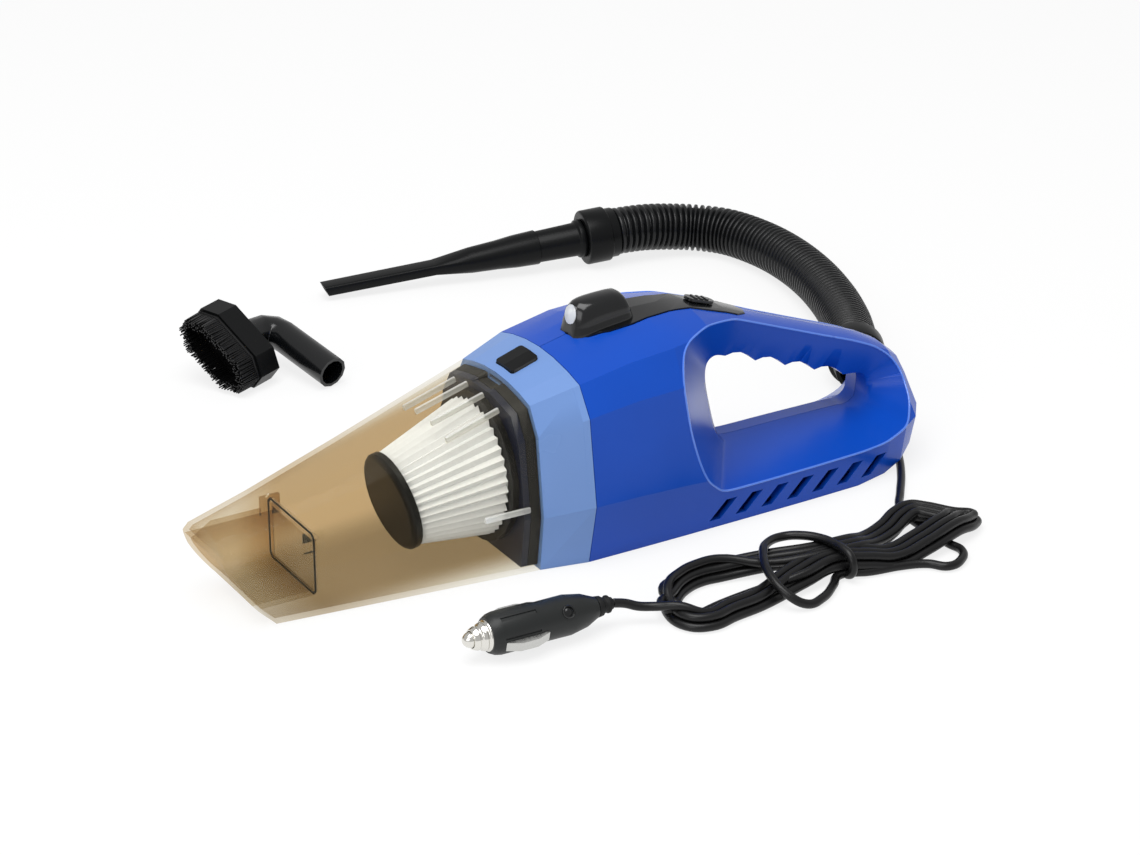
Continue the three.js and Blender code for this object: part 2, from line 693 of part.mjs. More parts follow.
function filterSeat() {
  const hole = turnX(rodProfile(seatStart - 1, sealStart + 1, filterBaseRadius - 5), 28, 0, filterAxisHeight);
  return insideCup(seatStart, sealStart - gap).subtract(hole).subtract(tongueNotch());
}

function filterFlange() {
  const profile = ringProfile(flangeStart, seatStart - gap, filterBaseRadius - 4, filterBaseRadius + filterFlangeWidth);
  return turnX(profile, 32, 0, filterAxisHeight);
}

// A loop that zigzags between two radii, in a plane across the filter's axis.
function pleatLoop(centre, tilt, outer) {
  const up = new THREE.Vector3(-Math.sin(tilt), 0, Math.cos(tilt));
  const across = new THREE.Vector3(0, 1, 0);
  const points = [];
  for (let i = 0; i < 2 * pleatCount; i += 1) {
    const angle = (i * Math.PI) / pleatCount;
    const radius = i % 2 ? outer - pleatDepth : outer;
    const point = new THREE.Vector3(...centre);
    point.addScaledVector(across, radius * Math.cos(angle)).addScaledVector(up, radius * Math.sin(angle));
    points.push(point);
  }
  return points;
}

function filterPleats() {
  const rear = [pleatStart, 0, filterAxisHeight];
  const slope = [Math.cos(filterCapTilt), 0, Math.sin(filterCapTilt)];
  const front = [filterCapX + gap * slope[0], 0, filterCapHeight + gap * slope[2]];
  const beyond = (point, share) => point.map((value, i) => value + (rear[i] - front[i]) * share);
  const paperTube = loft([pleatLoop(front, filterCapTilt, filterCapRadius), pleatLoop(rear, 0, filterBaseRadius)]);
  const inner = loft([pleatLoop(beyond(front, -0.02), filterCapTilt, filterCapRadius - pleatPaper),
    pleatLoop(beyond(rear, 0.02), 0, filterBaseRadius - pleatPaper)]);
  return paperTube.subtract(inner);
}

function filterCap() {
  const rim = filterCapRadius + 1;
  const profile = [[-filterCapThickness, 0], [-filterCapThickness, rim - 3], [-filterCapThickness + 1, rim - 0.8],
    [-filterCapThickness + 2, rim], [0, rim], [0, 0]];
  return placed(turnX(profile, 28), [filterCapX, 0, filterCapHeight], -filterCapTilt);
}

// ---- dust cup -----------------------------------------------------------------------------
// What the slanted mouth cuts away, seen from the side, moved back by a depth.
function mouthCut(depth) {
  const shape = new THREE.Shape();
  shape.moveTo(-220, -5);
  shape.lineTo(-138.2 + depth, -5);
  shape.splineThru([[-141.7, 0], [-150.6, 9], [-157.6, 18.5], [-162, 27], [noseTip - 1.8, 34], [noseTip, 42]]
    .map(([x, z]) => new THREE.Vector2(x + depth, z)));
  shape.lineTo(noseTip + depth, 60);
  shape.lineTo(-220, 60);
  return extrudeY(shape, -60, 60, 4);
}

function ductBox(grow, rear) {
  return box(-220, rear, -ductHalfWidth - grow, ductHalfWidth + grow, ductFloor - grow,
    ductFloor + ductHeight + grow);
}

const flapPinHeight = ductFloor + ductHeight + ductWall + flapPinRadius + 2 * gap;
const flapX = ductInnerEnd + gap + flapThickness / 2;
const flapHalfWidth = ductHalfWidth + 1;

function cupRib(y, z0, z1, length) {
  const x1 = seatStart - 1.5;
  const fin = box(x1 - length, x1, y - cupRibThickness / 2, y + cupRibThickness / 2, z0, z1);
  return fin.intersect(bodyForm(-100, -collarLength, -cupWall / 2)).subtract(bodyForm(-101, -20, -cupWall - cupRibDepth));
}

function dustCup() {
  const rear = -collarLength - gap;
  const outside = bodyForm(-175.9, rear).subtract(mouthCut(0));
  const room = bodyForm(-175.9, rear + 1, -cupWall).subtract(mouthCut(cupWall)).subtract(ductBox(ductWall, ductInnerEnd));
  const hole = bodyForm(-175.9, ductInnerEnd + 2, -cupWall).intersect(ductBox(0, ductInnerEnd + 1));
  const earInner = flapHalfWidth + gap;
  const ear = box(ductInnerEnd - 5, flapX + flapPinRadius + 2, earInner, earInner + 1.8,
    flapPinHeight - 6, flapPinHeight + flapPinRadius + 1.6);
  const ears = ear.add(ear.mirror([0, 1, 0]));
  const pinHole = turnY(rodProfile(-60, 60, flapPinRadius + gap), 14, flapX, flapPinHeight);
  const tongue = box(-collarLength - 7, -collarLength + 3.2, -tongueWidth / 2, tongueWidth / 2,
    tongueTop - tongueThickness, tongueTop)
    .add(box(-collarLength - 7, -collarLength - 1.5, -tongueWidth / 2, tongueWidth / 2, tongueTop - 0.5, 90))
    .intersect(bodyForm(-60, -10, -cupWall / 2));
  const ribs = [cupRib(-6, 50, 90, cupRibLength), cupRib(-19, 50, 90, cupRibLength), cupRib(8, 50, 90, cupRibLength),
    cupRib(19, 50, 90, cupRibLength)];
  return outside.subtract(room).subtract(hole).add(ears).subtract(pinHole).add(tongue)
    .add(wasm.Manifold.union(ribs));
}

function inletFlap() {
  const leaf = box(flapX - flapThickness / 2, flapX + flapThickness / 2, -flapHalfWidth, flapHalfWidth,
    ductFloor - 0.8, flapPinHeight);
  const pin = turnY(rodProfile(-flapHalfWidth - 1.8, flapHalfWidth + 1.8, flapPinRadius), 12, flapX, flapPinHeight);
  return leaf.add(pin);
}

// ---- fan and motor ------------------------------------------------------------------------
const impellerStart = fanCaseStart + fanCaseWall + 1.4;
const bladeStart = impellerStart + 1;
const discStart = bladeStart + bladeDepth;
const impellerEnd = discStart + impellerDisc;
const boreRadius = shaftRadius + gap;

function fanCase() {
  const end = fanCaseStart + fanCaseDepth;
  const inner = fanCaseRadius - fanCaseWall;
  const profile = [[fanCaseStart, inletEyeRadius], [fanCaseStart, fanCaseRadius], [end, fanCaseRadius], [end, inner],
    [fanCaseStart + fanCaseWall, inner], [fanCaseStart + fanCaseWall, inletEyeRadius],
    [fanCaseStart, inletEyeRadius]];
  return turnX(profile, 24, 0, fanAxisHeight);
}

// A blade curves back from the hub to the rim of the disc.
function bladeOutline(turn) {
  const steps = 3;
  const side = (offset) => {
    const points = [];
    for (let i = 0; i <= steps; i += 1) {
      const share = i / steps;
      const radius = inletEyeRadius - 3 + (impellerRadius - inletEyeRadius + 2.5) * share;
      const angle = turn - 0.85 * share * share + offset / radius;
      points.push([radius * Math.cos(angle), fanAxisHeight + radius * Math.sin(angle)]);
    }
    return points;
  };
  return polygon([...side(-bladeThickness / 2), ...side(bladeThickness / 2).reverse()]);
}

function impeller() {
  const disc = turnX(ringProfile(discStart, impellerEnd, boreRadius, impellerRadius), 24, 0, fanAxisHeight);
  const hub = turnX(ringProfile(impellerStart, discStart + 0.5, boreRadius, hubRadius), 12, 0, fanAxisHeight);
  const cover = turnX(ringProfile(impellerStart, bladeStart, inletEyeRadius - 1.5, impellerRadius), 24, 0, fanAxisHeight);
  const blades = [];
  for (let i = 0; i < bladeCount; i += 1) {
    const outline = bladeOutline((i * 2 * Math.PI) / bladeCount);
    blades.push(extrudeX(outline, bladeStart - 0.4, discStart + 0.4));
  }
  return wasm.Manifold.union([disc, hub, cover, ...blades]);
}

const nutLength = 2.6;
const endBellStart = motorStart + motorLength + gap;
const shaftEnd = endBellStart + endBellLength - 1;
const motorScrewRadius = 1.5;
const motorScrewPitch = 12.5;

function impellerNut() {
  const profile = ringProfile(impellerStart - gap - nutLength, impellerStart - gap, boreRadius, 3.4);
  return turnX(profile, 6, 0, fanAxisHeight);
}

function motorScrewHoles(radius) {
  return [-1, 1].map((side) =>
    turnX(rodProfile(motorPlateStart - 3, motorStart + 4, radius), 12, side * motorScrewPitch, fanAxisHeight));
}

function motorPlate() {
  const end = motorPlateStart + motorPlateThickness;
  const disc = turnX(ringProfile(motorPlateStart, end, hubRadius, fanCaseRadius), 24, 0, fanAxisHeight);
  const slots = [];
  for (let i = 0; i < 6; i += 1) {
    const slot = box(motorPlateStart - 1, end + 1, -4, 4, 21, 32);
    slots.push(slot.rotate([i * 60 + 30, 0, 0]).translate([0, 0, fanAxisHeight]));
  }
  return disc.subtract(wasm.Manifold.union([...slots, ...motorScrewHoles(motorScrewRadius + gap)]));
}

function motorScrew(side) {
  const headStart = motorPlateStart - gap - 1.6;
  const y = side * motorScrewPitch;
  return turnX([[headStart, 0], [headStart, 2.6], [motorPlateStart - gap, 2.6],
    [motorPlateStart - gap, motorScrewRadius], [motorStart + 3, motorScrewRadius], [motorStart + 3, 0]],
    12, y, fanAxisHeight);
}

function motorCan() {
  const end = motorStart + motorLength;
  const inner = motorRadius - motorWall;
  const profile = [[motorStart, bearingRadius + gap], [motorStart, motorRadius], [end, motorRadius], [end, inner],
    [motorStart + motorWall, inner], [motorStart + motorWall, bearingRadius + gap],
    [motorStart, bearingRadius + gap]];
  return turnX(profile, 24, 0, fanAxisHeight).subtract(wasm.Manifold.union(motorScrewHoles(motorScrewRadius + gap)));
}

function endBell() {
  const end = endBellStart + endBellLength;
  const profile = [[endBellStart, bearingRadius + gap], [endBellStart, motorRadius], [endBellStart + 2, motorRadius],
    [endBellStart + 3, 10], [end, 8], [end, bearingRadius + gap], [endBellStart, bearingRadius + gap]];
  return turnX(profile, 24, 0, fanAxisHeight);
}

function bearing(x) {
  return turnX(ringProfile(x, x + bearingLength, boreRadius, bearingRadius), 12, 0, fanAxisHeight);
}

function armature() {
  const coreStart = motorStart + 9;
  const coreEnd = coreStart + 18;
  const profile = [[impellerStart - gap - nutLength - 0.5, 0], [impellerStart - gap - nutLength - 0.5, shaftRadius],
    [coreStart, shaftRadius], [coreStart, armatureRadius], [coreEnd, armatureRadius], [coreEnd, 5.5],
    [coreEnd + 7, 5.5], [coreEnd + 7, shaftRadius], [shaftEnd, shaftRadius], [shaftEnd, 0]];
  return turnX(profile, 16, 0, fanAxisHeight);
}

// ---- lamp, slider and switch --------------------------------------------------------------
const lensCentre = [lensX, 0, crownAt(lensX) + lensRise];
const hoodTop = crownAt(hoodMiddle) + hoodHeight;
const hoodBase = lensCentre[2] - 12;
const lensTilt = THREE.MathUtils.degToRad(14);

function hoodSolid(inset) {
  const halfWidth = hoodHalfWidth - inset;
  const crown = hoodTop - inset;
  const loaf = new THREE.Shape();
  loaf.moveTo(-halfWidth, hoodBase);
  loaf.lineTo(halfWidth, hoodBase);
  loaf.lineTo(halfWidth * 0.96, crown - halfWidth * 0.8);
  loaf.absellipse(0, crown - halfWidth * 0.8, halfWidth * 0.96, halfWidth * 0.8, 0, Math.PI);
  const side = new THREE.Shape();
  const lean = Math.tan(lensTilt);
  side.moveTo(lensX - 12 * lean + inset, hoodBase);
  side.lineTo(hoodRear - inset, hoodBase);
  side.lineTo(hoodRear - inset, crown - 6);
  side.quadraticCurveTo(hoodRear - inset, crown, hoodRear - 5 - inset, crown);
  side.lineTo(lensX + 8 * lean + inset + 3, crown - 1);
  side.lineTo(lensX + (crown - 3 - lensCentre[2]) * lean + inset, crown - 3);
  return extrudeX(loaf, 5, 60, 8).intersect(extrudeY(side, -30, 30, 4));
}

function lampHood() {
  const lensHole = placed(turnX(rodProfile(-6, 4, lensRadius + gap), 16), lensCentre, lensTilt);
  return hoodSolid(0).subtract(hoodSolid(hoodWall)).subtract(bodyForm(2, 150, inlayProud + gap)).subtract(lensHole);
}

function lampLens() {
  const profile = [[-lensThickness / 2 - 0.6, 0], [-lensThickness / 2, lensRadius * 0.6],
    [-lensThickness / 2 + 0.5, lensRadius], [lensThickness / 2, lensRadius], [lensThickness / 2, 0]];
  return placed(turnX(profile, 16), lensCentre, lensTilt);
}

function lampReflector() {
  const start = lensThickness / 2 + gap;
  const end = start + reflectorDepth;
  const neck = ledRadius + gap;
  const profile = [[start, lensRadius - 0.8], [start, lensRadius], [end, neck + 0.8], [end, neck],
    [start, lensRadius - 0.8]];
  return placed(turnX(profile, 16), lensCentre, lensTilt);
}

function lampLed() {
  const start = lensThickness / 2 + reflectorDepth - 2;
  const profile = [[start, 0], [start + 0.6, ledRadius * 0.8], [start + 1.6, ledRadius], [start + 4, ledRadius], [start + 4, 0]];
  return placed(turnX(profile, 12), lensCentre, lensTilt);
}

function powerSlider() {
  const base = inlayProud + gap;
  const plan = roundedRectangle(sliderLength, sliderWidth, sliderWidth / 2 - 0.2);
  const ridges = [-3, 0, 3].map((x) => box(x - 0.6, x + 0.6, -2.5, 2.5, base + 0.6, base + sliderHeight + 0.5));
  const stem = box(-sliderTravel / 2 - sliderStem / 2, -sliderTravel / 2 + sliderStem / 2, -sliderStem / 2,
    sliderStem / 2, -wall - 2.5, base + 1);
  const knob = extrudeZ(plan, base, base + sliderHeight, 4);
  return placed(wasm.Manifold.union([knob, stem, ...ridges]), [sliderX, 0, crownAt(sliderX)], sliderTilt);
}

function powerSwitch() {
  const top = -wall - 2 * gap;
  const reach = (sliderStem + sliderTravel) / 2 + gap;
  const body = box(-switchLength / 2, switchLength / 2, -switchWidth / 2, switchWidth / 2, top - switchHeight, top)
    .subtract(box(-reach, reach, -sliderStem / 2 - gap, sliderStem / 2 + gap, top - 3.2, top + 1));
  return placed(body, [sliderX, 0, crownAt(sliderX)], sliderTilt);
}

// ---- power cord, its relief, hank and plug ------------------------------------------------
const reliefLength = 10;

function route(points) {
  return new THREE.CatmullRomCurve3(points.map((point) => new THREE.Vector3(...point)));
}

function strainRelief() {
  const neck = reliefRadius;
  const profile = [[-9, 0], [-9, neck + 1.4], [-7.4, neck + 1.4], [-7.4, neck], [4, neck], [4, neck + 0.8],
    [5.4, neck + 0.8], [reliefLength, cordRadius + 0.6], [reliefLength, 0]];
  return placed(turnX(profile, 16), reliefSeat, reliefTilt);
}

const hankOutline = [[-4, -101], [4, -88], [16, -79.5], [28.6, -76], [41.5, -77], [61.8, -83], [81, -91], [98, -91.6],
  [110, -87.5], [121, -84.6], [132, -80], [142.4, -79.4], [150, -84], [160, -92.5], [168, -100], [163, -107],
  [150, -112.5], [129, -117.5], [112, -119], [97, -116.5], [83, -113], [66, -115], [41, -119.5], [26, -121.5],
  [11, -123.5], [1, -117]];

// Two loops of cord stray from the hank and lie beside it.
const strayLoops = [
  [[85.2, -99.6, 9.6], [78, -89.8, 12], [72.9, -84.5, 12], [63.2, -86.6, 12], [54.6, -95.9, 12], [48.2, -110.7, 12.4],
    [49.4, -122, 8], [56.6, -126.8, 3.4], [65.4, -124.8, 2.5], [76.4, -116.3, 3], [82.9, -110.8, 3]],
  [[118, -116.5, 3], [124.9, -121.5, 2.4], [129.5, -129, 2.2], [138.3, -126.6, 2.2], [143.5, -119.8, 2.4],
    [142.6, -112, 3]],
];

function cordHank() {
  const curve = new THREE.CatmullRomCurve3(hankOutline.map(([x, y]) => new THREE.Vector3(x, y, 0)), true);
  const outline = polygon(curve.getPoints(36).slice(0, 36).map((point) => [point.x, point.y]));
  const wrap = extrudeX(roundedRectangle(hankWrapWidth, hankWrapHeight, 5), -cordRadius, cordRadius, 4)
    .translate([hankWrapPlace[0], hankWrapPlace[1], hankWrapHeight / 2]);
  const loops = strayLoops.map((points) => tube(route(points), cordRadius, 8, 18));
  return wasm.Manifold.union([extrudeZ(outline, 0, hankHeight), wrap, ...loops]);
}

function alongRelief(distance) {
  return [reliefSeat[0] + distance * Math.cos(reliefTilt), 0, reliefSeat[2] - distance * Math.sin(reliefTilt)];
}

const cordRoute = [alongRelief(reliefLength + gap), alongRelief(reliefLength + 1.6), [188, -3.4, 2.3], [186, -11, 2.3],
  [177, -28, 2.3], [166, -45, 2.3], [153.6, -61, 2.3], [145.6, -71.5, 2.3], [143.4, -79.1, 2.3]];
const leadRoute = [[-5.4, -102.4, 6.5], [-11, -99.6, 7.6], [-16, -97.2, 9.4], [-21.1, -96.1, 10.5]];

const plugTip = [-91.4, -92.9, plugRadius];
const plugYaw = THREE.MathUtils.degToRad(-2.3);
const fuseRadius = 3.15;
const fuseLength = 30;
const noseStart = 3.5;
const noseEnd = noseStart + plugNoseLength;
const plugBodyEnd = noseEnd + gap + plugBodyLength;
const lampPlace = noseEnd + 33;
const noseFloor = noseStart + 4; // the nose's front wall ends here
const tipFlangeStart = noseFloor + gap;
const tipFlangeEnd = tipFlangeStart + 1.6;
const fuseStart = tipFlangeEnd + gap;
const fuseEnd = fuseStart + fuseLength;
const plugBoreEnd = fuseEnd + plugTipTravel + gap + 5;

function plugTipPin() {
  return turnX([[0, 0], [0, 1.4], [0.8, 2.4], [2.4, plugTipRadius], [tipFlangeStart, plugTipRadius],
    [tipFlangeStart, plugTipRadius + 1], [tipFlangeEnd, plugTipRadius + 1], [tipFlangeEnd, 0]], 18);
}

function plugNose() {
  return turnX([[noseStart, plugTipRadius + gap], [noseStart, 5.2], [noseStart + 3, 7], [noseEnd - 3, 8],
    [noseEnd - 2, 8.8], [noseEnd, 9.2], [noseEnd, 7.2], [noseFloor, 5.4], [noseFloor, plugTipRadius + gap],
    [noseStart, plugTipRadius + gap]], 18);
}

function plugFuse() {
  return turnX(rodProfile(fuseStart, fuseEnd, fuseRadius), 14);
}

function plugContact(side) {
  const strip = polygon([[noseEnd + 3, 9.2], [noseEnd + 4, 8.6], [noseEnd + 22, 8.6], [noseEnd + 23, 9.2],
    [noseEnd + 17, 11.4], [noseEnd + 9, 11.4]]);
  return extrudeY(strip, -2.2, 2.2).rotate([side * 90 + 15, 0, 0]);
}

function plugShell() {
  const start = noseEnd + gap;
  const bore = fuseRadius + gap + 0.5;
  const body = turnX([[plugBoreEnd, 0], [plugBoreEnd, bore], [start, bore], [start, 8.8],
    [start + 2, plugRadius - 0.9], [start + 18, plugRadius - 0.5], [start + 28, plugRadius],
    [plugBodyEnd - 9, plugRadius - 0.8], [plugBodyEnd - 4, plugRadius - 2.6], [plugBodyEnd, 5.6], [plugBodyEnd, 0]], 20);
  const grooves = [1, -1].map((side) =>
    box(noseEnd + 2, noseEnd + 24, -2.5, 2.5, 7.2, 20).rotate([side * 90 + 15, 0, 0]));
  const windowHole = turnZ(rodProfile(5, 14, 1.8), 14, lampPlace, 0);
  return body.subtract(wasm.Manifold.union([...grooves, windowHole]));
}

function plugSpring() {
  return turnX(ringProfile(plugBoreEnd - gap - 4.6, plugBoreEnd - gap, 2.2, 3.2), 14);
}

function plugLamp() {
  return turnZ([[5.3, 0], [5.3, 1.5], [9.4, 1.5], [9.9, 0.8], [9.9, 0]], 14, lampPlace, 0);
}

function plugBoot() {
  const start = plugBodyEnd + gap;
  return turnX([[start, 0], [start, 4.6], [start + 3, 4.2], [start + 7.6, cordRadius + 0.6], [start + 7.6, 0]], 16);
}

// ---- hose and crevice tool ----------------------------------------------------------------
// Along the tool's axis +X points from the hose to the tip.
const toolSlope = 0.068;
const toolTilt = Math.asin(toolSlope);
const toolYaw = THREE.MathUtils.degToRad(168.6);
const toolLength = cuffLength + adapterLength - 10 + creviceSocketLength + creviceBladeLength;
const toolStart = [194.5, 252.6, cuffRadius + cuffLength * toolSlope + 0.25];

function hoseCuff() {
  const inner = adapterRadius + gap;
  return turnX([[0, inner - 1.4], [0, cuffRadius - 1.4], [4.4, cuffRadius - 1.4], [5, cuffRadius],
    [cuffLength - 0.8, cuffRadius], [cuffLength, cuffRadius - 0.8], [cuffLength, inner], [cuffSeat, inner],
    [cuffSeat, inner - 1.4], [0, inner - 1.4]], 24);
}

function hoseAdapter() {
  const start = cuffSeat + gap;
  const end = cuffLength + adapterLength;
  const bore = adapterRadius - toolWall - 1.4;
  return turnX([[start, bore], [start, adapterRadius], [cuffLength + gap, adapterRadius],
    [cuffLength + gap, adapterRadius + 1.2], [cuffLength + 3, adapterRadius + 1.2], [cuffLength + 4, adapterRadius],
    [end - 10, adapterRadius - 0.6], [end - 10, adapterRadius - toolWall - gap], [end, adapterRadius - toolWall - gap - 0.3],
    [end, bore], [start, bore]], 20);
}

// A rounded tube that flattens towards its tip.
function flatLoop(x, width, height, z = 0) {
  const points = [];
  const count = 16;
  for (let i = 0; i < count; i += 1) {
    const angle = (i * 2 * Math.PI) / count;
    const squash = width / height > 1.2 ? 0.45 : 1;
    const corner = (value) => Math.sign(value) * Math.abs(value) ** squash;
    points.push(new THREE.Vector3(x, (width / 2) * corner(Math.cos(angle)), z + (height / 2) * corner(Math.sin(angle))));
  }
  return points;
}

function creviceTool() {
  const start = cuffLength + adapterLength - 10 + gap;
  const neck = start + creviceSocketLength;
  const tip = toolLength;
  const round = 2 * adapterRadius + 0.4;
  const skin = (inset) => loft([
    flatLoop(start - inset * 0.1, round - 2 * inset, round - 2 * inset),
    flatLoop(start + 12, round - 1 - 2 * inset, round - 1 - 2 * inset),
    flatLoop(neck, round - 2.4 - 2 * inset, round - 3 - 2 * inset),
    flatLoop(neck + 15, round - 2.8 - 2 * inset, round - 5 - 2 * inset),
    flatLoop(neck + creviceTaperLength, creviceTipWidth + 0.6 - 2 * inset, creviceTipHeight + 0.3 - 2 * inset),
    flatLoop(tip + inset * 0.1, creviceTipWidth - 2 * inset, creviceTipHeight - 2 * inset),
  ]);
  const slant = polygon([[tip - 12, -20], [tip + 1, 12], [tip + 30, 12], [tip + 30, -20]]);
  return skin(0).subtract(skin(toolWall)).subtract(extrudeY(slant, -20, 20));
}

const rearCuffYaw = THREE.MathUtils.degToRad(-119.5);
const rearCuffStart = [215.4, 61.4, cuffRadius + 0.2];
const toolAxis = [Math.cos(toolYaw) * Math.cos(toolTilt), Math.sin(toolYaw) * Math.cos(toolTilt), -toolSlope];
const rearAxis = [Math.cos(rearCuffYaw), Math.sin(rearCuffYaw), 0];

function behind(place, axis, distance) {
  return place.map((value, i) => value - axis[i] * distance);
}

const hoseRoute = [behind(toolStart, toolAxis, gap), behind(toolStart, toolAxis, 3), [211, 249.6, 16.2],
  [225.6, 246.4, 14.8], [239.4, 240.4, 13.4], [250.8, 227.5, 13], [257.2, 205, 12.8], [258, 180, 12.8],
  [253.8, 150.7, 12.8], [245, 120.5, 12.8], [234.4, 95, 12.9], [223.8, 75.6, 13.8],
  behind(rearCuffStart, rearAxis, 3), behind(rearCuffStart, rearAxis, gap)];

function hoseSolid() {
  return tube(route(hoseRoute), hoseRadius, 12, 30);
}

function rearCuff() {
  const profile = [[0, 9.6], [0, cuffRadius - 1], [1, cuffRadius], [14, cuffRadius], [15, cuffRadius - 2],
    [26, cuffRadius - 2.8], [26, cuffRadius - 4.8], [6, cuffRadius - 4], [6, 9.6], [0, 9.6]];
  return turnX(profile, 24);
}

// ---- brush tool ---------------------------------------------------------------------------
// The tool rests on the end of its tube and on a corner of its head, which is turned on the neck.
const brushPlace = [-22.2, 228.2, 18]; // corner of the elbow's centre line
const brushTubeYaw = THREE.MathUtils.degToRad(-77.4);
const brushTubeTilt = THREE.MathUtils.degToRad(11.2);
const brushNeckYaw = THREE.MathUtils.degToRad(-153.3);
const brushHeadRoll = 38; // degrees

function elbowPath(inset) {
  const out = new THREE.Vector3(Math.cos(brushTubeYaw) * Math.cos(brushTubeTilt),
    Math.sin(brushTubeYaw) * Math.cos(brushTubeTilt), -Math.sin(brushTubeTilt));
  const neck = new THREE.Vector3(Math.cos(brushNeckYaw), Math.sin(brushNeckYaw), 0);
  const path = new THREE.CurvePath();
  const tubeEnd = out.clone().multiplyScalar(brushTubeLength + inset);
  const bendOut = out.clone().multiplyScalar(brushBendRadius);
  const bendNeck = neck.clone().multiplyScalar(brushBendRadius);
  const neckEnd = neck.clone().multiplyScalar(brushBendRadius + brushNeckLength + inset);
  path.add(new THREE.LineCurve3(tubeEnd, bendOut));
  path.add(new THREE.QuadraticBezierCurve3(bendOut, new THREE.Vector3(), bendNeck));
  path.add(new THREE.LineCurve3(bendNeck, neckEnd));
  return path;
}

function elbowSolid(inset, radius) {
  const samples = elbowPath(inset).getSpacedPoints(10);
  return tube(new THREE.CatmullRomCurve3(samples, false, 'centripetal'), radius, 12, 10);
}

function brushElbow() {
  return elbowSolid(0, brushTubeRadius).subtract(elbowSolid(2, brushTubeRadius - toolWall)).translate(brushPlace);
}

// In the head's own frame +X points out of the bristles and Y is along the head.
const headStart = brushBendRadius + brushNeckLength + gap;

function headPlaced(shape) {
  return placed(shape.rotate([-brushHeadRoll, 0, 0]), brushPlace, 0, brushNeckYaw);
}

// The head's outline: a rectangle with long chamfers at its ends, shrunk by an inset.
function headOutline(inset) {
  const length = brushHeadLength / 2 - inset;
  const width = brushHeadWidth / 2 - inset;
  const [along, across] = brushHeadChamfer;
  const quarter = [[length, width - across], [length - along, width]];
  const half = [...quarter, ...quarter.map(([y, z]) => [-y, z]).reverse()];
  return polygon([...half, ...half.map(([y, z]) => [-y, -z])]);
}

function brushHead() {
  const block = extrudeX(headOutline(0), headStart, headStart + brushHeadDepth);
  const mouth = extrudeX(headOutline(bristleBand), headStart + 3, headStart + brushHeadDepth + 1);
  const port = turnX(rodProfile(headStart - 1, headStart + 4, brushTubeRadius - toolWall - 1), 16);
  return headPlaced(block.subtract(mouth).subtract(port));
}

function bristleRing() {
  const start = headStart + brushHeadDepth + gap;
  const ring = extrudeX(headOutline(0.8), start, start + 1.5)
    .subtract(extrudeX(headOutline(bristleBand), start - 1, start + 3));
  const tuft = (y, z) => turnX(rodProfile(start + 1, start + bristleLength, 1.5), 6, y, z);
  const row = [-12.5, -7.5, -2.5, 2.5, 7.5, 12.5];
  const edge = brushHeadWidth / 2 - 2.4;
  const tufts = [...row.flatMap((y) => [tuft(y, -edge), tuft(y, edge)]), tuft(-18.4, 4), tuft(-18.4, -4),
    tuft(18.4, 4), tuft(18.4, -4)];
  return headPlaced(wasm.Manifold.union([ring, ...tufts]));
}

// ---- assembly -----------------------------------------------------------------------------
const vacuum = new THREE.Group();
vacuum.position.x = collarLength / 2;

const shell = housing();
piece('housing_left', shell.intersect(box(-10, 200, -70, -gap / 2, -10, 120)), blue, vacuum);
piece('housing_right', shell.intersect(box(-10, 200, gap / 2, 70, -10, 120)), blue, vacuum);
screwPlaces.forEach((place, i) => piece(`housing_screw_${i + 1}`, housingScrew(place), steel, vacuum));
piece('top_inlay', topInlay(), glossBlack, vacuum);
piece('front_collar', collar(), paleBlue, vacuum);
piece('release_button', releaseButton(), mattBlack, vacuum);
piece('button_spring', buttonSpring(), steel, vacuum);
piece('cup_seal', cupSeal(), softBlack, vacuum);
piece('filter_seat', filterSeat(), navy, vacuum);

piece('filter_flange', filterFlange(), mattBlack, vacuum);
piece('filter_pleats', filterPleats(), paper, vacuum);
piece('filter_cap', filterCap(), mattBlack, vacuum);
piece('dust_cup', dustCup(), amber, vacuum);
piece('inlet_flap', inletFlap(), clear, vacuum);

piece('fan_case', fanCase(), mattBlack, vacuum);
piece('impeller', impeller(), steel, vacuum);
piece('impeller_nut', impellerNut(), brass, vacuum);
piece('motor_plate', motorPlate(), steel, vacuum);
piece('motor_screw_1', motorScrew(-1), steel, vacuum);
piece('motor_screw_2', motorScrew(1), steel, vacuum);
piece('motor_can', motorCan(), steel, vacuum);
piece('motor_end_bell', endBell(), mattBlack, vacuum);
piece('front_bearing', bearing(motorStart - 0.5), brass, vacuum);
piece('rear_bearing', bearing(endBellStart + 1), brass, vacuum);
piece('armature', armature(), steel, vacuum);

piece('lamp_hood', lampHood(), glossBlack, vacuum);
piece('lamp_lens', lampLens(), clear, vacuum);
piece('lamp_reflector', lampReflector(), chrome, vacuum);
piece('lamp_led', lampLed(), clear, vacuum);
piece('power_slider', powerSlider(), glossBlack, vacuum);
piece('power_switch', powerSwitch(), mattBlack, vacuum);

piece('strain_relief', strainRelief(), softBlack, vacuum);
piece('power_cord', tube(route(cordRoute), cordRadius, 8, 24), softBlack, vacuum);
piece('cord_hank', cordHank(), softBlack, vacuum);
piece('plug_lead', tube(route(leadRoute), cordRadius, 8, 6), softBlack, vacuum);

const plug = new THREE.Group();
plug.position.set(...plugTip);
plug.rotation.z = plugYaw;
vacuum.add(plug);
piece('plug_tip', plugTipPin(), steel, plug);
piece('plug_nose', plugNose(), chrome, plug);
piece('plug_fuse', plugFuse(), clear, plug);
piece('plug_spring', plugSpring(), steel, plug);
piece('plug_body', plugShell(), mattBlack, plug);
piece('plug_contact_left', plugContact(1), steel, plug);
piece('plug_contact_right', plugContact(-1), steel, plug);
piece('plug_lamp', plugLamp(), clear, plug);
piece('plug_boot', plugBoot(), softBlack, plug);

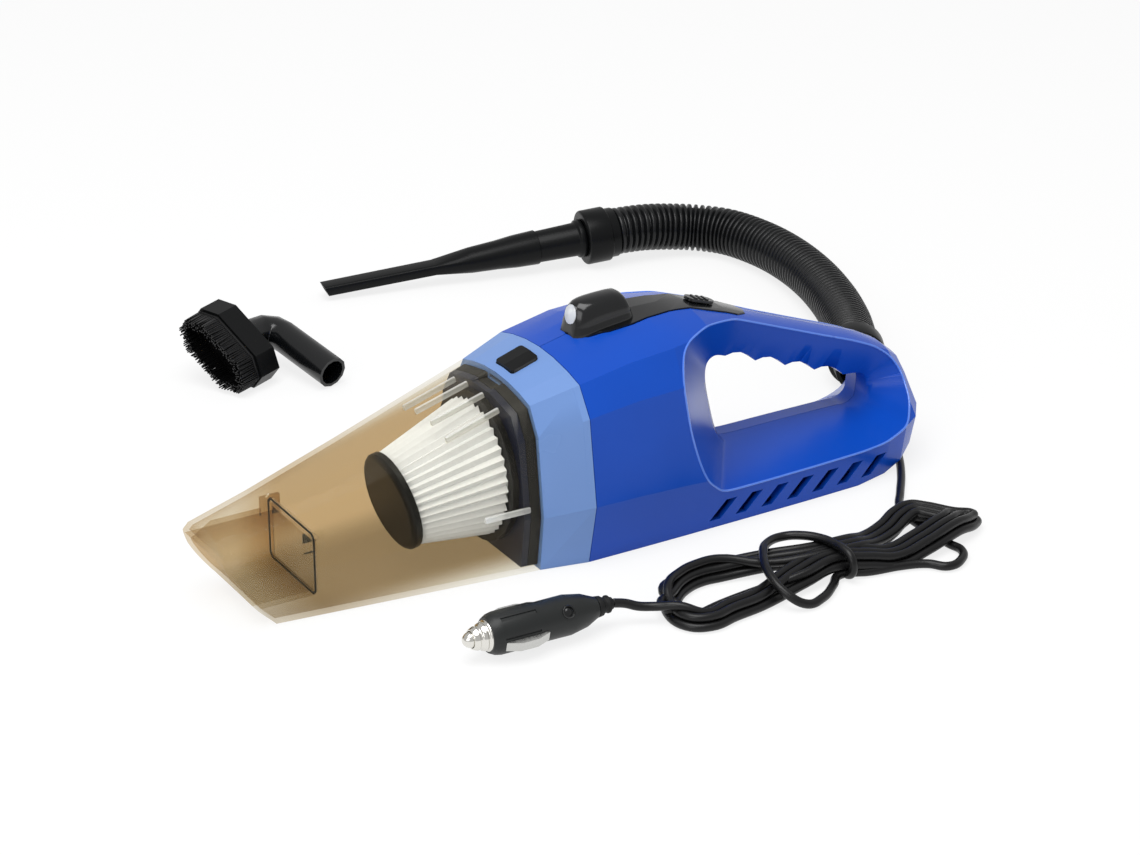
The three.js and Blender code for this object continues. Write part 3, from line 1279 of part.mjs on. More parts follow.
const tool = new THREE.Group();
tool.position.set(...toolStart);
tool.rotation.set(0, toolTilt, toolYaw, 'ZYX');
vacuum.add(tool);
piece('hose_cuff', hoseCuff(), mattBlack, tool);
piece('hose_adapter', hoseAdapter(), mattBlack, tool);
piece('crevice_tool', creviceTool(), mattBlack, tool);
piece('hose', hoseSolid(), mattBlack, vacuum);

const rearEnd = new THREE.Group();
rearEnd.position.set(...rearCuffStart);
rearEnd.rotation.z = rearCuffYaw;
vacuum.add(rearEnd);
piece('hose_rear_cuff', rearCuff(), mattBlack, rearEnd);

piece('brush_elbow', brushElbow(), mattBlack, vacuum);
piece('brush_head', brushHead(), mattBlack, vacuum);
piece('brush_bristles', bristleRing(), softBlack, vacuum);

export default vacuum;
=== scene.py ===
# %% [markdown]
# # A 12 V car vacuum with its hose, brush, crevice tool, cord and plug
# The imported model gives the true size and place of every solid. It is loaded as a fixed frame, and
# this script dresses it: each shell gets its material, and the pieces that a plain solid can't show,
# such as a corrugated hose, a wound cord and a pleated filter, are made again in full detail.

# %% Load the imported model
import json
import math
import random

import bmesh
import bpy
from mathutils import Matrix, Vector, noise

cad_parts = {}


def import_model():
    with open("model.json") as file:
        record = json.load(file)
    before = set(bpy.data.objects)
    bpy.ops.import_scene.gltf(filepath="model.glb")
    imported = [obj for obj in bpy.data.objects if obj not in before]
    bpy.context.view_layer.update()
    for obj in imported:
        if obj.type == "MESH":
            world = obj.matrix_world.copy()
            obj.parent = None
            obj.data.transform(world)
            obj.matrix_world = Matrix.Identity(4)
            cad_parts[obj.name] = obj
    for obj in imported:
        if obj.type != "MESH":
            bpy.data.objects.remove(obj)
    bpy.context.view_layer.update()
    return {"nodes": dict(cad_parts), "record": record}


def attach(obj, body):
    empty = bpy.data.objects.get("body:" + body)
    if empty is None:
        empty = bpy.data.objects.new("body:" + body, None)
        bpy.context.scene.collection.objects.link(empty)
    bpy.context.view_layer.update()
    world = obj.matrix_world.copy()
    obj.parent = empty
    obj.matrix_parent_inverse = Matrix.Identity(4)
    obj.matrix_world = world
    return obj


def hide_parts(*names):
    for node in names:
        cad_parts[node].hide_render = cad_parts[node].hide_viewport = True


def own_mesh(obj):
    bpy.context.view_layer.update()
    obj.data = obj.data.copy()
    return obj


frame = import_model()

NODES = frame["nodes"]
BODY_OF = {node: body for body, nodes in frame["record"]["behaviour"]["bodies"].items() for node in nodes}

# %% [markdown]
# ## Camera
# A long lens from 1.4 m away keeps the lines of the body nearly parallel, as in a catalogue view.
# The camera stands 31 degrees round from the nose's side and 25 degrees above the table.

# %% Set up the camera
MM = 0.001
SENSOR_WIDTH = 36
AIM = Vector((31.8, 8.9, 39.4)) * MM
AZIMUTH, ELEVATION = math.radians(31), math.radians(25)
DISTANCE = 1.4
toward_camera = Vector((-math.sin(AZIMUTH) * math.cos(ELEVATION),
                        -math.cos(AZIMUTH) * math.cos(ELEVATION), math.sin(ELEVATION)))

camera = bpy.data.objects.new("camera", bpy.data.cameras.new("camera"))
bpy.context.scene.collection.objects.link(camera)
camera.data.sensor_width = SENSOR_WIDTH
camera.data.lens = 99.03
camera.data.clip_start = 0.01
camera.location = AIM + toward_camera * DISTANCE
camera.rotation_euler = (AIM - camera.location).to_track_quat("-Z", "Y").to_euler()
bpy.context.scene.camera = camera
print("camera at", [round(v, 4) for v in camera.location])

# %% [markdown]
# ## Finishes
# A finish is a set of shader nodes. One function adds a node with its settings and links, one turns
# a hex colour into the linear numbers that the shader wants, and one starts a material. Patterns
# read Object coordinates, which are metres here, so a scale is one over a real size.

# %% Three helpers for the finishes
def colour(hex_code):
    """The linear red, green, blue and alpha of an sRGB hex colour."""
    channels = [int(hex_code[i:i + 2], 16) / 255 for i in (1, 3, 5)]
    return [c / 12.92 if c <= 0.04045 else ((c + 0.055) / 1.055) ** 2.4 for c in channels] + [1]


def add_node(tree, kind, inputs=(), **settings):
    """Adds a node. An input is a number or colour, or another node's output to link."""
    node = tree.nodes.new(kind)
    for name, value in settings.items():
        setattr(node, name, value)
    for socket, value in dict(inputs).items():
        if isinstance(value, bpy.types.NodeSocket):
            tree.links.new(value, node.inputs[socket])
        else:
            node.inputs[socket].default_value = value
    return node


def start_material(name):
    """An empty material: its tree, its output node and its Object coordinates."""
    material = bpy.data.materials.new(name)
    material.use_nodes = True
    tree = material.node_tree
    tree.nodes.clear()
    output = add_node(tree, "ShaderNodeOutputMaterial")
    where = add_node(tree, "ShaderNodeTexCoord").outputs["Object"]
    return material, tree, output, where


def per_mm(size):
    """The scale of a pattern whose grain is that many millimetres."""
    return 1 / (size * MM)

# %% [markdown]
# ### Moulded plastics and rubber
# Most of the vacuum is injection-moulded ABS. A polished mould gives a glossy skin with a faint
# ripple, and an etched mould gives a fine leathery grain. Both are one recipe: a noise bends the
# normal by the depth of the grain, and a second, larger noise varies the colour and the gloss
# slightly, as handling and uneven cooling do.

# %% One recipe for moulded plastics
def moulded(name, base, shade, roughness, grain_mm, depth_mm, coat=0.0, specular=0.5, mottle_mm=30):
    """Plastic that varies from base to shade, with a grain of a size and depth in millimetres."""
    material, tree, output, where = start_material(name)
    mottle = add_node(tree, "ShaderNodeTexNoise", {"Vector": where, "Scale": per_mm(mottle_mm), "Detail": 3})
    tint = add_node(tree, "ShaderNodeMix", {"Factor": mottle.outputs["Fac"], "A": colour(base),
                                            "B": colour(shade)}, data_type="RGBA")
    gloss = add_node(tree, "ShaderNodeMapRange", {"Value": mottle.outputs["Fac"], "To Min": roughness * 0.85,
                                                  "To Max": roughness * 1.15})
    grain = add_node(tree, "ShaderNodeTexNoise", {"Vector": where, "Scale": per_mm(grain_mm), "Detail": 2})
    bump = add_node(tree, "ShaderNodeBump", {"Height": grain.outputs["Fac"], "Distance": depth_mm * MM,
                                             "Strength": 1.0})
    skin = add_node(tree, "ShaderNodeBsdfPrincipled", {
        "Base Color": tint.outputs["Result"], "Roughness": gloss.outputs["Result"], "Metallic": 0.0,
        "IOR": 1.52, "Coat Weight": coat, "Coat Roughness": 0.04, "Specular IOR Level": specular,
        "Normal": bump.outputs["Normal"]})
    tree.links.new(skin.outputs["BSDF"], output.inputs["Surface"])
    return material


blue_abs = moulded("ABS_blue_polished", "#0c49b4", "#0b44aa", 0.24, 9, 0.006, specular=0.22)
# Painted highlight: the lip's paler blue stands in for the light that the rounded edge of the dish catches.
lip_painted_highlight_abs = moulded("ABS_blue_lip", "#4f7cdc", "#4876d4", 0.16, 9, 0.006, coat=0.3, specular=0.5)
pale_abs = moulded("ABS_periwinkle_polished", "#6c8dc5", "#6687be", 0.26, 9, 0.008, coat=0.05, specular=0.3)
polished_black = moulded("ABS_black_polished", "#090a0b", "#0d0e10", 0.18, 9, 0.01, coat=0.1, specular=0.4)
grained_black = moulded("ABS_black_grained", "#08090a", "#0b0c0d", 0.36, 0.7, 0.02, specular=0.15)
navy_abs = moulded("ABS_navy_satin", "#0f1730", "#0c1328", 0.35, 3, 0.01, specular=0.3)
seal_rubber = moulded("rubber_seal_moulded", "#0a0a0b", "#0f1011", 0.6, 0.8, 0.02, specular=0.3)
cord_pvc = moulded("PVC_cord_extruded", "#0b0b0c", "#101011", 0.34, 2.5, 0.03, specular=0.3, mottle_mm=12)
charcoal_abs = moulded("ABS_charcoal_satin", "#1b1d1d", "#212323", 0.4, 0.7, 0.02, specular=0.3)
hose_eva = moulded("EVA_hose_blown", "#0b0c0d", "#0f1012", 0.3, 3, 0.03, specular=0.3)
print("moulded finishes:", [m.name for m in bpy.data.materials])

# %% [markdown]
# ### Metals
# A turned or drawn part keeps fine lines from the tool. Stretching a noise along X and squeezing it
# across gives those lines, which vary the roughness and bend the normal. Plating is smoother and
# brighter, so it has the same lines, only fainter.

# %% One recipe for turned and plated metals
def turned_metal(name, base, roughness, line_mm, depth_mm):
    """Metal with tool lines of a spacing and depth in millimetres, across X."""
    material, tree, output, where = start_material(name)
    squeezed = add_node(tree, "ShaderNodeMapping", {"Vector": where, "Scale": (1.0, 0.06, 0.06)})
    lines = add_node(tree, "ShaderNodeTexNoise", {"Vector": squeezed.outputs["Vector"], "Scale": per_mm(line_mm),
                                                  "Detail": 4})
    gloss = add_node(tree, "ShaderNodeMapRange", {"Value": lines.outputs["Fac"], "To Min": roughness * 0.6,
                                                  "To Max": roughness * 1.4})
    bump = add_node(tree, "ShaderNodeBump", {"Height": lines.outputs["Fac"], "Distance": depth_mm * MM})
    skin = add_node(tree, "ShaderNodeBsdfPrincipled", {
        "Base Color": colour(base), "Metallic": 1.0, "Roughness": gloss.outputs["Result"],
        "Normal": bump.outputs["Normal"]})
    tree.links.new(skin.outputs["BSDF"], output.inputs["Surface"])
    return material


drawn_steel = turned_metal("steel_drawn_bright", "#c9c9c6", 0.3, 0.5, 0.01)
turned_brass = turned_metal("brass_turned", "#c2a45c", 0.3, 0.5, 0.01)
nickel_plate = turned_metal("nickel_plated_bright", "#e2e0da", 0.14, 0.8, 0.004)
print("metals:", drawn_steel.name, turned_brass.name, nickel_plate.name)

# %% [markdown]
# ### Clear plastics
# The dust cup is tinted polycarbonate and the lens is clear acrylic, whose milky white fill is painted
# brightness for the lit reflector behind it. Light passes straight through such thin walls and takes
# their tint, so a transparent shader carries the tint and a glossy one carries the reflections. At a
# glancing view more plastic lies in the way and more light is reflected, so the wall shows more of
# itself there. The cup's amber is its own colour, but its deepening across the cup, towards the far
# half and the floor, is painted shade. It is less so round the duct, where more walls overlap.

# %% One recipe for clear plastics
def clear_plastic(name, base, tint, filled, edge_filled, roughness, tint_with_painted_shade=None, floor_tint_with_painted_shade=None):
    """A thin clear wall. filled is how much of itself it shows face on, edge_filled at a glance."""
    material, tree, output, where = start_material(name)
    ripple = add_node(tree, "ShaderNodeTexNoise", {"Vector": where, "Scale": per_mm(25), "Detail": 1})
    bump = add_node(tree, "ShaderNodeBump", {"Height": ripple.outputs["Fac"], "Distance": 0.01 * MM})
    facing = add_node(tree, "ShaderNodeLayerWeight", {"Blend": 0.3, "Normal": bump.outputs["Normal"]})
    share = add_node(tree, "ShaderNodeMapRange", {"Value": facing.outputs["Facing"], "To Min": filled,
                                                  "To Max": edge_filled})
    through = add_node(tree, "ShaderNodeBsdfTransparent", {"Color": colour(tint)})
    # Painted shade: the amber tint deepens towards the cup's far side and its floor, and half as much round the duct.
    if tint_with_painted_shade:
        place = add_node(tree, "ShaderNodeSeparateXYZ", {0: where})
        lowered = add_node(tree, "ShaderNodeMath", {0: place.outputs["Z"], 1: -0.9, 2: 18 * MM},
                           operation="MULTIPLY_ADD")
        across = add_node(tree, "ShaderNodeMath", {0: place.outputs["Y"], 1: lowered.outputs[0]}, operation="ADD")
        depth = add_node(tree, "ShaderNodeMapRange", {"Value": across.outputs[0], "From Min": -20 * MM,
                                                      "From Max": 4 * MM}, interpolation_type="SMOOTHSTEP")
        past_duct = add_node(tree, "ShaderNodeMapRange", {"Value": place.outputs["X"], "From Min": -128 * MM,
                                                          "From Max": -106 * MM, "To Min": 0.5})
        depth = add_node(tree, "ShaderNodeMath", {0: depth.outputs["Result"], 1: past_duct.outputs["Result"]},
                         operation="MULTIPLY")
        low = add_node(tree, "ShaderNodeMapRange", {"Value": place.outputs["Z"], "From Min": 13 * MM,
                                                    "From Max": 2 * MM}, interpolation_type="SMOOTHSTEP")
        painted_shade_colour = add_node(tree, "ShaderNodeMix", {"Factor": low.outputs["Result"], "A": colour(tint_with_painted_shade),
                                                "B": colour(floor_tint_with_painted_shade)}, data_type="RGBA")
        tint_and_painted_shade = add_node(tree, "ShaderNodeMix", {"Factor": depth.outputs[0], "A": colour(tint),
                                               "B": painted_shade_colour.outputs["Result"]}, data_type="RGBA")
        tree.links.new(tint_and_painted_shade.outputs["Result"], through.inputs["Color"])
    skin = add_node(tree, "ShaderNodeBsdfPrincipled", {
        "Base Color": colour(base), "Roughness": roughness, "IOR": 1.58, "Normal": bump.outputs["Normal"]})
    wall = add_node(tree, "ShaderNodeMixShader", {0: share.outputs["Result"], 1: through.outputs[0],
                                                  2: skin.outputs["BSDF"]})
    tree.links.new(wall.outputs[0], output.inputs["Surface"])
    return material


# The far-half and floor tints are painted shade laid over the cup's own amber.
amber_pc = clear_plastic("polycarbonate_amber_tinted", "#8a8478", "#fefdf9", 0.01, 0.15, 0.06,
                         tint_with_painted_shade="#e1d0b4", floor_tint_with_painted_shade="#ccbda3")
flap_pc = clear_plastic("polycarbonate_flap", "#cfc4b2", "#f4eee4", 0.05, 0.4, 0.06)
rib_pc = clear_plastic("polycarbonate_clear", "#f6f8fa", "#fbfcfd", 0.25, 0.85, 0.05)
# Painted brightness: the lens's milky white fill stands in for the lit reflector seen through the clear acrylic.
lens_acrylic_painted_bright = clear_plastic("acrylic_lens_painted_bright", "#f2f6fa", "#fdfdfd", 0.4, 0.8, 0.04)
print("clear plastics:", amber_pc.name, rib_pc.name, lens_acrylic_painted_bright.name)

# %% [markdown]
# ### Filter paper and bristles
# Filter paper is a felt of short fibres, so it is matt and slightly uneven. Bristles are drawn nylon:
# smooth, thin and a little shiny along their length.

# %% Paper and nylon
def filter_paper():
    material, tree, output, where = start_material("filter_paper_pleated")
    fibres = add_node(tree, "ShaderNodeTexNoise", {"Vector": where, "Scale": per_mm(1.2), "Detail": 6})
    tint = add_node(tree, "ShaderNodeMix", {"Factor": fibres.outputs["Fac"], "A": colour("#e8eaee"),
                                            "B": colour("#d8dade")}, data_type="RGBA")
    bump = add_node(tree, "ShaderNodeBump", {"Height": fibres.outputs["Fac"], "Distance": 0.05 * MM})
    skin = add_node(tree, "ShaderNodeBsdfPrincipled", {
        "Base Color": tint.outputs["Result"], "Roughness": 0.85, "Normal": bump.outputs["Normal"]})
    tree.links.new(skin.outputs["BSDF"], output.inputs["Surface"])
    return material


pleat_paper = filter_paper()
bristle_nylon = moulded("nylon_bristle_drawn", "#060607", "#0b0b0c", 0.35, 1.5, 0.01)

# %% [markdown]
# ## The power cord
# The cord is a 4 mm pair in black PVC, 2.6 m long and limp. It leaves the relief under the tail,
# lies on the table as far as the hank, passes under it, strays in a small loop, makes the wrap that
# ties the hank, and winds six times round before it ends in the plug. It is one curve with one
# spline, so its length is real. The outline of the hank is a list of places, and each turn keeps
# its own lane and layer in the bundle.

# %% The hank's outline and the lanes of its six turns
SEAM_X = 11  # the seam between collar and housing, from the origin
CORD_DIAMETER = 4
LANE = 4.1
LAYER = 3.5
HANK_OUTLINE = [(-4, -101), (4, -88), (16, -79.5), (28.6, -76), (41.5, -77), (61.8, -83), (81, -91), (98, -91.6),
                (110, -87.5), (121, -84.6), (132, -80), (142.4, -79.4), (150, -84), (160, -92.5), (168, -100),
                (163, -107), (150, -112.5), (129, -117.5), (112, -119), (97, -116.5), (83, -113), (66, -115),
                (41, -119.5), (26, -121.5), (11, -123.5), (1, -117)]
FLAT = [(0, 0), (1, 0), (2, 0), (3, 0), (0.5, 1), (1.5, 1)]
HEAPED = [(0, 0), (1, 0), (2, 0), (0.5, 1), (1.5, 1), (1, 2)]
DOUBLE = [(0, 0), (1, 0), (2, 0), (0.5, 1), (1.5, 1), (2.5, 1)]
LIFT = {5: 2, 6: 4, 7: 3.4, 9: 1, 10: 3, 11: 4, 12: 3.4, 13: 1.6, 14: 1, 15: 1.6, 16: 4, 17: 2, 19: 2.6, 20: 4, 21: 2}


def lanes_at(place):
    """How the six turns lie beside and on each other at a place of the outline."""
    if place >= 22 or place == 0:
        return FLAT
    return HEAPED if place <= 4 else DOUBLE


def hank_point(place, turn, wobble):
    """The centre of one turn of the cord at one place of the outline, in millimetres."""
    count = len(HANK_OUTLINE)
    before, here, after = (Vector(HANK_OUTLINE[(place + step) % count]) for step in (-1, 0, 1))
    along = (after - before).normalized()
    inward = Vector((along.y, -along.x))
    lane, layer = lanes_at(place)[turn]
    centre = here + inward * (CORD_DIAMETER / 2 + 0.1 + LANE * lane + wobble)
    return (centre.x, centre.y, CORD_DIAMETER / 2 + 0.1 + LAYER * layer + LIFT.get(place, 0))

# %% [markdown]
# The route is listed in the order in which the cord runs, from the vacuum to the plug.

# %% Route the cord
RELIEF_SEAT = Vector((177, 0, 7.356))
RELIEF_TILT = math.radians(28)
RELIEF_LENGTH = 10


def along_relief(distance):
    return (RELIEF_SEAT.x + distance * math.cos(RELIEF_TILT), 0, RELIEF_SEAT.z - distance * math.sin(RELIEF_TILT))


leave_tail = [along_relief(10.3), along_relief(11.6), (188, -3.4, 2.3), (186, -11, 2.3), (177, -28, 2.3),
              (166, -45, 2.3), (153.6, -61, 2.3), (145.6, -71.5, 2.2), (143.2, -80, 2.1)]
under_hank = [(142.4, -90, 2.1), (142.2, -101, 2.1), (142.6, -112, 2.1)]
right_stray = [(143.5, -119.8, 2.1), (138.3, -126.6, 2.1), (129.5, -129, 2.1), (123, -122.4, 2.1),
               (113, -118.4, 2.1), (98, -115.6, 2.1)]
left_stray = [(82.9, -112.2, 2.6), (76.4, -117.6, 2.2), (65.4, -125, 2.2), (56.6, -126.8, 2.6), (49.4, -122, 7),
              (48.2, -110.7, 11.4), (54.6, -95.9, 13.2), (63.2, -86.6, 12.4), (72.9, -84.5, 12), (79.6, -89.8, 13)]
wrap = [(84.6, -97.5, 13.4), (86.2, -104, 13.5), (86.6, -111, 13.4), (86.8, -115.6, 11.6), (86.9, -117.3, 7.8),
        (87, -115.6, 3.6), (87.1, -110.5, 2.1), (87.3, -102, 2.1), (87.6, -94.5, 2.1)]
to_plug = [(3, -109.6, 8.6), (-5.4, -102.4, 7.4), (-11, -99.6, 7.8), (-16, -97.2, 9.4), (-21.1, -96.1, 10.5)]

random.seed(4)
turns = []
first_place = 7
for turn in range(6):
    wobble = random.uniform(-0.25, 0.25)
    last = 24 if turn == 5 else 25
    places = list(range(first_place if turn == 0 else 0, last + 1))
    turns += [hank_point(place, turn, wobble) for place in places]
cord_route = leave_tail + under_hank + right_stray + left_stray + wrap + turns + to_plug
print("cord points:", len(cord_route))


def world(point):
    """Seam millimetres to metres in the shared frame."""
    return Vector((point[0] + SEAM_X, point[1], point[2])) * MM


def polyline_length(points):
    return sum((b - a).length for a, b in zip(points, points[1:]))


def smooth_curve(name, points, diameter_mm, resolution=6):
    """A round cord as one open spline with smooth handles through the points."""
    curve = bpy.data.curves.new(name, "CURVE")
    curve.dimensions = "3D"
    curve.bevel_depth = diameter_mm / 2 * MM
    curve.bevel_resolution = 4
    curve.resolution_u = resolution
    curve.use_fill_caps = True
    spline = curve.splines.new("BEZIER")
    spline.bezier_points.add(len(points) - 1)
    for knot, place in zip(spline.bezier_points, points):
        knot.co = place
        knot.handle_left_type = knot.handle_right_type = "AUTO"
    piece = bpy.data.objects.new(name, curve)
    bpy.context.scene.collection.objects.link(piece)
    return piece


power_cord = smooth_curve("power_cord_wound", [world(p) for p in cord_route], CORD_DIAMETER)
power_cord.data.materials.append(cord_pvc)
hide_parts("power_cord", "cord_hank", "plug_lead")
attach(power_cord, "vacuum")
print("cord length, m:", round(polyline_length([world(p) for p in cord_route]), 3))

# %% [markdown]
# ## Turned pieces
# The plug, the cuffs and the lens are round about one line. A maker turns such a shape on a lathe,
# and the spin operator does the same: it sweeps a half outline round the X axis. The outline is a
# list of places along the axis and radii. The sharp rings then get a narrow bevel, because no real
# edge is perfectly sharp, and the bevel is what catches the light.

# %% Finish a mesh as a piece, and turn an outline
def make_piece(name, bm, finish, nodes, sharp=35, beside=None):
    """Writes the bmesh into an object, in place of CAD nodes, or as a detail that moves with one."""
    mesh = bpy.data.meshes.new(name)
    bm.to_mesh(mesh)
    bm.free()
    mesh.shade_smooth()
    mesh.set_sharp_from_angle(angle=math.radians(sharp))
    mesh.materials.append(finish)
    piece = bpy.data.objects.new(name, mesh)
    bpy.context.scene.collection.objects.link(piece)
    if nodes:
        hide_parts(*nodes)
    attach(piece, BODY_OF[beside or nodes[0]])
    print(name, "faces:", len(mesh.polygons))
    return piece


def bevel_sharp(bm, width_mm, over_degrees=25, segments=2):
    """Rounds every edge that is sharper than an angle."""
    edges = [e for e in bm.edges if len(e.link_faces) == 2
             and e.calc_face_angle(0) > math.radians(over_degrees)]
    bmesh.ops.bevel(bm, geom=edges, offset=width_mm * MM, offset_type="OFFSET", segments=segments,
                    profile=0.5, affect="EDGES", material=-1, clamp_overlap=True)


def turned(outline, steps=64, bevel_mm=0.25):
    """Spins a closed outline of (along, radius) in millimetres round the X axis."""
    bm = bmesh.new()
    verts = [bm.verts.new((x * MM, 0, r * MM)) for x, r in outline]
    edges = [bm.edges.new(pair) for pair in zip(verts, verts[1:])]
    bmesh.ops.spin(bm, geom=verts + edges, cent=(0, 0, 0), axis=(1, 0, 0), angle=2 * math.pi,
                   steps=steps, use_merge=True)
    bmesh.ops.remove_doubles(bm, verts=bm.verts, dist=1e-7)
    bmesh.ops.recalc_face_normals(bm, faces=bm.faces)
    if bevel_mm:
        bevel_sharp(bm, bevel_mm)
    return bm


def frame_at(place, yaw_degrees, tilt_degrees=0.0):
    """Where a piece's own X axis starts and points: place in seam millimetres, tilt down, then yaw."""
    turn = Matrix.Rotation(math.radians(yaw_degrees), 4, "Z") @ Matrix.Rotation(math.radians(tilt_degrees), 4, "Y")
    return Matrix.Translation(world(place)) @ turn


def move(bm, matrix):
    bmesh.ops.transform(bm, matrix=matrix, verts=bm.verts)
    return bm


def loft(bm, rings, joined=False):
    """Bridges rings of places. The last is joined to the first, or both ends are filled."""
    loops = []
    for ring in rings:
        verts = [bm.verts.new(place) for place in ring]
        loops.append([bm.edges.new((verts[i - 1], verts[i])) for i in range(len(verts))])
    for first, second in zip(loops, loops[1:] + (loops[:1] if joined else [])):
        bmesh.ops.bridge_loops(bm, edges=first + second)
    if not joined:
        for end in (loops[0], loops[-1]):
            bmesh.ops.edgeloop_fill(bm, edges=end)
    bmesh.ops.recalc_face_normals(bm, faces=bm.faces)
    return bm

# %% [markdown]
# ## The cigarette-lighter plug
# The moulded grip holds a nickel-plated nose with a spring-loaded tip, and a spring contact on each
# side. The sizes are those that a 12 V socket asks for: 21 mm across, with the contacts standing out.

# %% Turn the plug
PLUG_FRAME = frame_at((-91.4, -92.9, 10.5), -2.3)
NOSE_START, NOSE_END, PLUG_RADIUS, GAP = 3.5, 12.5, 10.5, 0.3
BODY_END = NOSE_END + GAP + 49
TIP_RADIUS = 3.4
FLANGE = NOSE_START + 4 + GAP

plug_tip = make_piece("plug_tip_turned", move(turned([
    (0, 0), (0, 1.2), (0.5, 2), (1.4, 2.8), (2.6, TIP_RADIUS), (FLANGE, TIP_RADIUS), (FLANGE, TIP_RADIUS + 1),
    (FLANGE + 1.6, TIP_RADIUS + 1), (FLANGE + 1.6, 0)]), PLUG_FRAME), nickel_plate, ["plug_tip"])

plug_nose = make_piece("plug_nose_turned", move(turned([
    (NOSE_START, TIP_RADIUS + GAP), (NOSE_START, 4.3), (NOSE_START + 0.8, 4.6), (NOSE_START + 2.2, 5.2),
    (NOSE_START + 2.7, 4.9), (NOSE_START + 3.4, 5), (NOSE_START + 3.8, 5.6), (NOSE_START + 5.3, 6.2),
    (NOSE_START + 5.8, 5.9), (NOSE_START + 6.3, 6), (NOSE_START + 6.7, 6.7), (NOSE_END, 7.1), (NOSE_END, 5.4),
    (NOSE_START + 4, 4.8), (NOSE_START + 4, TIP_RADIUS + GAP), (NOSE_START, TIP_RADIUS + GAP)],
    bevel_mm=0.15), PLUG_FRAME), nickel_plate, ["plug_nose"])

# %% [markdown]
# The grip is spun too. Two grooves a side run along it: of the faces of its long flat part, those at
# the grooves' angles are inset and sunk. A round window with a rim shows the plug's light.

# %% Turn the plug's grip and its window
GRIP_START, GRIP_RADIUS = NOSE_END + GAP, 9.2
GROOVE_ANGLES, GROOVE_DEPTH = (8, 62, 118, 172), 0.5
WINDOW_PLACE, WINDOW_ANGLE = NOSE_END + 33, math.radians(38)

grip = turned([(NOSE_END - 1.8, 6.6), (NOSE_END - 1.8, 7.6), (GRIP_START, 8.7), (GRIP_START + 2.5, GRIP_RADIUS),
               (GRIP_START + 19, GRIP_RADIUS), (GRIP_START + 22, 8.6), (GRIP_START + 35, 8.7),
               (GRIP_START + 43, 7.2), (BODY_END - 1.5, 5.2), (BODY_END, 4.6), (BODY_END, 3.4),
               (GRIP_START + 35, 5), (GRIP_START, 6.6), (NOSE_END - 1.8, 6.6)], bevel_mm=0)
sunk = []
for face in grip.faces:
    place = face.calc_center_median() / MM
    turn = math.degrees(math.atan2(place.z, -place.y))
    on_flat = GRIP_START + 3 < place.x < GRIP_START + 18 and math.hypot(place.y, place.z) > GRIP_RADIUS - 1
    if on_flat and min(abs(turn - angle) for angle in GROOVE_ANGLES) < 3:
        sunk.append(face)
bmesh.ops.inset_region(grip, faces=sunk, thickness=0.15 * MM, depth=-GROOVE_DEPTH * MM, use_even_offset=True)
plug_body = make_piece("plug_grip_turned", move(grip, PLUG_FRAME), charcoal_abs, ["plug_body"], 30)

outward = Vector((0, -math.cos(WINDOW_ANGLE), math.sin(WINDOW_ANGLE)))
window_frame = (PLUG_FRAME @ Matrix.Translation((Vector((WINDOW_PLACE, 0, 0)) + outward * 8.3) * MM)
                @ outward.to_track_quat("X", "Y").to_matrix().to_4x4())
plug_window = make_piece("plug_window_turned", move(turned([
    (-0.8, 0), (-0.8, 2.9), (0.5, 2.9), (1, 2.5), (1, 2.1), (0.2, 1.9), (0.6, 1.2), (0.8, 0)], steps=32,
    bevel_mm=0.1), window_frame), polished_black, ["plug_lamp"])
print("faces sunk for the grooves:", len(sunk))

# %% [markdown]
# The cord leaves the plug through a soft boot with shallow rings, which lets it bend.

# %% The plug's boot and the tail's strain relief
plug_boot = make_piece("plug_boot_moulded", move(turned(
    [(BODY_END + GAP, 0), (BODY_END + GAP, 4.6), (BODY_END + 2.6, 4.3), (BODY_END + 3.2, 3.5), (BODY_END + 4.8, 3.4),
     (BODY_END + 5.2, 3.9), (BODY_END + 6.2, 3.8), (BODY_END + 6.6, 2.9), (BODY_END + 7.9, 2.6), (BODY_END + 7.9, 0)],
    bevel_mm=0.2), PLUG_FRAME), seal_rubber, ["plug_boot"])

RELIEF_FRAME = frame_at(tuple(RELIEF_SEAT), 0, math.degrees(RELIEF_TILT))
strain_relief = make_piece("strain_relief_moulded", move(turned([
    (-9, 0), (-9, 4.8), (-7.4, 4.8), (-7.4, 3.4), (4, 3.4), (4, 4.2), (5.4, 4.2), (5.9, 3.2), (6.7, 3.1), (7.1, 3.6),
    (8, 3.4), (8.4, 2.9), (RELIEF_LENGTH, 2.6), (RELIEF_LENGTH, 0)], bevel_mm=0.2), RELIEF_FRAME),
    seal_rubber, ["strain_relief"])

# %% [markdown]
# ## The hose
# The hose is blow-moulded EVA. Its wall is folded into rings 3.4 mm apart, so that it bends without
# closing. A straight length is spun first, and then each of its points is carried onto the route:
# its place along the hose picks a point of the route, and a frame that doesn't twist turns it.

# %% Carry a straight piece onto a route
def smooth_line(points, per_span=12):
    """Points close together on a centripetal Catmull-Rom line through the given ones."""
    ends = [points[0] * 2 - points[1]] + list(points) + [points[-1] * 2 - points[-2]]
    line = []
    for p0, p1, p2, p3 in zip(ends, ends[1:], ends[2:], ends[3:]):
        before, span, after = [max((b - a).length, 1e-9) ** 0.5 for a, b in ((p0, p1), (p1, p2), (p2, p3))]
        start = ((p1 - p0) / before - (p2 - p0) / (before + span) + (p2 - p1) / span) * span
        finish = ((p2 - p1) / span - (p3 - p1) / (span + after) + (p3 - p2) / after) * span
        for step in range(per_span):
            t = step / per_span
            line.append(p1 + start * t + (3 * (p2 - p1) - 2 * start - finish) * t ** 2
                        + (2 * (p1 - p2) + start + finish) * t ** 3)
    return line + [points[-1]]


